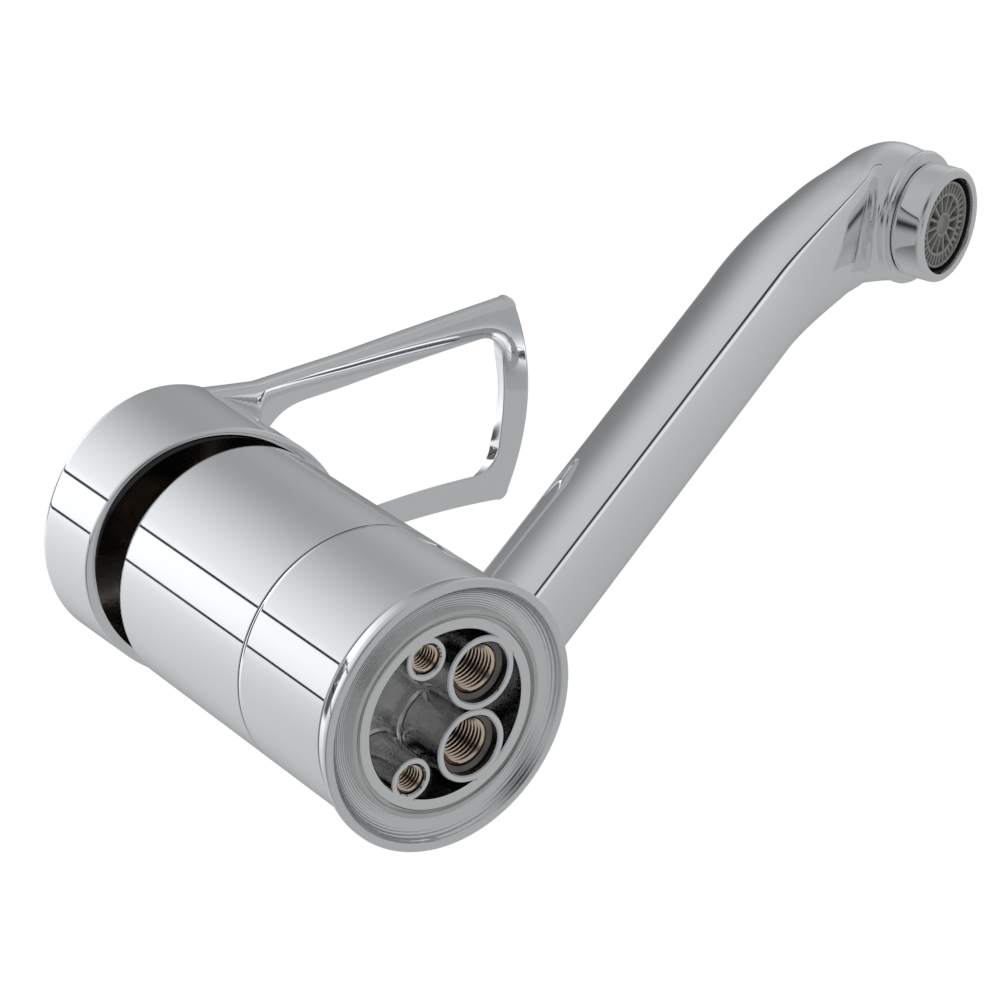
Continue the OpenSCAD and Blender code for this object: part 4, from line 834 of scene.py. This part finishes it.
for i in range(1, 5):
    rings.append(socket_ring(corner_up + (RIM_Z + 0.15 - corner_up) * i / 4, SOCKET_R))
rings[elbow_from:] = eased(rings[elbow_from:])
tube = rolled_skin("tube", rings)
clearance = bar("clearance", COLUMN_R + 0.3, COLLAR_HIGH, COLUMN_TOP, 192)
combine(tube, clearance, "DIFFERENCE")
spout = spun("spout_casting", [
    (0, COLLAR_LOW), (COLUMN_R - 0.15, COLLAR_LOW), (COLUMN_R, COLLAR_LOW + 0.15),
    *[(COLUMN_R, COLLAR_LOW + 0.5 + i * 5) for i in range(6)],
    (COLUMN_R, COLLAR_HIGH - 0.15), (COLUMN_R - 0.15, COLLAR_HIGH), (0, COLLAR_HIGH)], steps=256)
combine(spout, tube, "UNION")
collar_bore = spun("collar_bore", [
    (0, COLLAR_LOW - 1), (SEAT_R, COLLAR_LOW - 1), (SEAT_R, COLLAR_LOW + SEAT_H),
    (COLLAR_BORE_R, COLLAR_LOW + SEAT_H), (COLLAR_BORE_R, COLLAR_HIGH - SEAT_H),
    (SEAT_R, COLLAR_HIGH - SEAT_H), (SEAT_R, COLLAR_HIGH + 1), (0, COLLAR_HIGH + 1)], 144)
combine(spout, collar_bore, "DIFFERENCE")


def at_outlet(piece):
    place(piece, (outlet_x, 0, outlet_z), (0, -OUTLET_TILT, 0))


rim = spun("rim", [
    (13.0, RIM_Z), (RIM_R - 1.7, RIM_Z), *arc(RIM_R - 1.1, RIM_Z + 1.3, 1.1, -84, -10, 6),
    *arc(RIM_R - 1.1, RIM_Z + 1.75, 1.1, 10, 58, 5), (13.0, RIM_Z + 2.4)], 192)
at_outlet(rim)
combine(spout, rim, "UNION")
head_bore = spun("head_bore", [(0, RIM_Z - 1), (13.7, RIM_Z - 1), (13.7, 16.75), (12, 16.75), (12, 20), (10, 23.5),
                               (6, 25.5), (0, 26.2)], 96)
at_outlet(head_bore)
combine(spout, head_bore, "DIFFERENCE")
fit(spout, "spout_arm", ["spout"], chrome, angle=45)


# Aerator collar: a turned chrome ring screwed into the head, with a rolled lip round the mouth.
collar = spun("aerator_collar", [
    (12.1, 0.35), (12.25, 0.1), (12.5, 0.0), (13.4, 0.0), (13.9, 0.15), (14.25, 0.5), (14.45, 0.95),
    (14.5, 1.4), (14.5, 1.9), (14.5, 7.2), (14.5, 7.7), (14.35, 8.1), (14.1, 8.2), (13.6, 8.2), (13.6, 14.6), (12.65, 14.6),
    (12.65, 1.1), (12.1, 1.1)], steps=144)
at_outlet(collar)
fit(collar, "spout_arm", ["aerator_housing"], chrome)


# Aerator insert: grey acetal, an outer ring and a middle ring joined by thin ribs, whose gaps
# let the water out. Its centre is plain. Its outer cup is near black, partly black plastic and partly painted shade
# in the groove round it.
INSERT_R, INSERT_Z, INSERT_H = 12.6, 1.15, 7.4
RIB_Z, RIB_H, RIB_T, MID_R, HUB_CENTRE_R = 1.95, 3.0, 0.7, 7.7, 3.2
insert = spun("aerator_insert", [
    (10.9, INSERT_Z + 3.4), (11.9, INSERT_Z + 3.4), (11.9, INSERT_Z), (INSERT_R - 0.15, INSERT_Z),
    (INSERT_R, INSERT_Z + 0.15), (INSERT_R, INSERT_Z + INSERT_H), (INSERT_R - 0.8, INSERT_Z + INSERT_H),
    (INSERT_R - 0.8, INSERT_Z + 4.2), (10.9, INSERT_Z + 4.2)], 144)
outer_ring = spun("outer_ring", [
    (10.25, RIB_Z + 0.1), (10.4, RIB_Z - 0.3), (10.55, RIB_Z - 0.4), (10.85, RIB_Z - 0.4), (11.0, RIB_Z - 0.25),
    (11.0, INSERT_Z + 4.2), (10.25, INSERT_Z + 4.2)], 120)
middle_ring = spun("middle_ring", [
    (MID_R - 0.4, RIB_Z + 0.1), (MID_R - 0.3, RIB_Z - 0.05), (MID_R + 0.3, RIB_Z - 0.05),
    (MID_R + 0.4, RIB_Z + 0.1), (MID_R + 0.4, RIB_Z + RIB_H), (MID_R - 0.4, RIB_Z + RIB_H)], 96)
centre = spun("centre", [(0, RIB_Z + 0.7), (2.1, RIB_Z + 0.6), (2.4, RIB_Z + 0.1), (2.5, RIB_Z - 0.15),
                         (3.05, RIB_Z - 0.15), (HUB_CENTRE_R, RIB_Z), (HUB_CENTRE_R, RIB_Z + RIB_H),
                         (0, RIB_Z + RIB_H)], 64)
acetal = finish("grey_acetal", (0.46, 0.45, 0.43), 0.0, (0.30, 0.44), patch_size=500, grain=2500,
                grain_depth=0.012, second=(0.36, 0.35, 0.33))
# Near black for the outer cup: partly black plastic, partly painted shade in the deep narrow groove between the
# collar and the insert.
black_acetal_and_groove_shade = finish("black_acetal_and_groove_shade", (0.02, 0.02, 0.022), 0.0, (0.35, 0.5), 300, 2200, 0.012)
insert.data.materials.append(black_acetal_and_groove_shade)
parts = [insert, outer_ring, middle_ring, centre]
for part in parts[1:]:
    part.data.materials.append(acetal)
for count, start, end in ((36, MID_R, 10.5), (14, HUB_CENTRE_R - 0.4, MID_R)):
    bpy.ops.object.select_all(action="DESELECT")
    bpy.ops.mesh.primitive_cube_add(size=1, location=((start + end) / 2 * MM, 0, (RIB_Z + RIB_H / 2) * MM),
                                    scale=((end - start) * MM, RIB_T * MM, RIB_H * MM))
    rib = bpy.context.object
    bpy.ops.object.transform_apply(location=True, scale=True)
    round_edges(rib, 0.16, 2)
    rib.data.materials.append(acetal)
    for i in range(count):
        copy = rib.copy()
        copy.data = rib.data.copy()
        bpy.context.collection.objects.link(copy)
        place(copy, turn=(0, 0, 360 * i / count))
        parts.append(copy)
    bpy.data.objects.remove(rib, do_unlink=True)
bpy.ops.object.select_all(action="DESELECT")
for part in parts:
    part.select_set(True)
bpy.context.view_layer.objects.active = insert
bpy.ops.object.join()
at_outlet(insert)
fit(insert, "spout_arm", ["aerator_grille"], acetal)


# Hidden pieces: they keep the frame's own solids, and each gets the finish of its real material.
hidden_finishes = {
    "pale_plastic": finish("white_acetal", (0.80, 0.80, 0.76), 0.0, (0.35, 0.5), 300, 2200, 0.01),
    "dark_plastic": finish("moulded_black", (0.05, 0.05, 0.055), 0.0, (0.3, 0.45), 300, 2200, 0.012),
    "rubber": finish("black_rubber", (0.02, 0.02, 0.02), 0.0, (0.6, 0.8), 300, 2600, 0.02),
    "ceramic": finish("lapped_ceramic", (0.86, 0.85, 0.80), 0.0, (0.05, 0.12), 300, 1500, 0.0, coat=0.4),
    "steel": finish("plain_steel", (0.60, 0.60, 0.60), 1.0, (0.2, 0.34), 200, 2200, 0.01, shade=0.2),
    "screen": finish("woven_screen", (0.14, 0.14, 0.14), 0.9, (0.4, 0.6), 400, 3000, 0.08, shade=0.5),
    "brass": finish("turned_brass", (0.78, 0.58, 0.28), 1.0, (0.18, 0.3), 200, 1800, 0.01, shade=0.2),
}
HIDDEN = {
    "pale_plastic": ("lower_bearing_ring", "upper_bearing_ring", "rotor", "jet_plate"),
    "dark_plastic": ("cartridge_base", "disc_carrier", "cartridge_shell", "stop_ring"),
    "rubber": ("spout_seals", "cartridge_seals", "aerator_washer"),
    "ceramic": ("fixed_disc", "moving_disc"),
    "steel": ("stem_pin", "lever_stem", "grub_screw"),
    "screen": ("aerator_screens",),
    "brass": ("cartridge_nut",),
}
for kind, names in HIDDEN.items():
    for name in names:
        frame["nodes"][name].data.materials.clear()
        frame["nodes"][name].data.materials.append(hidden_finishes[kind])
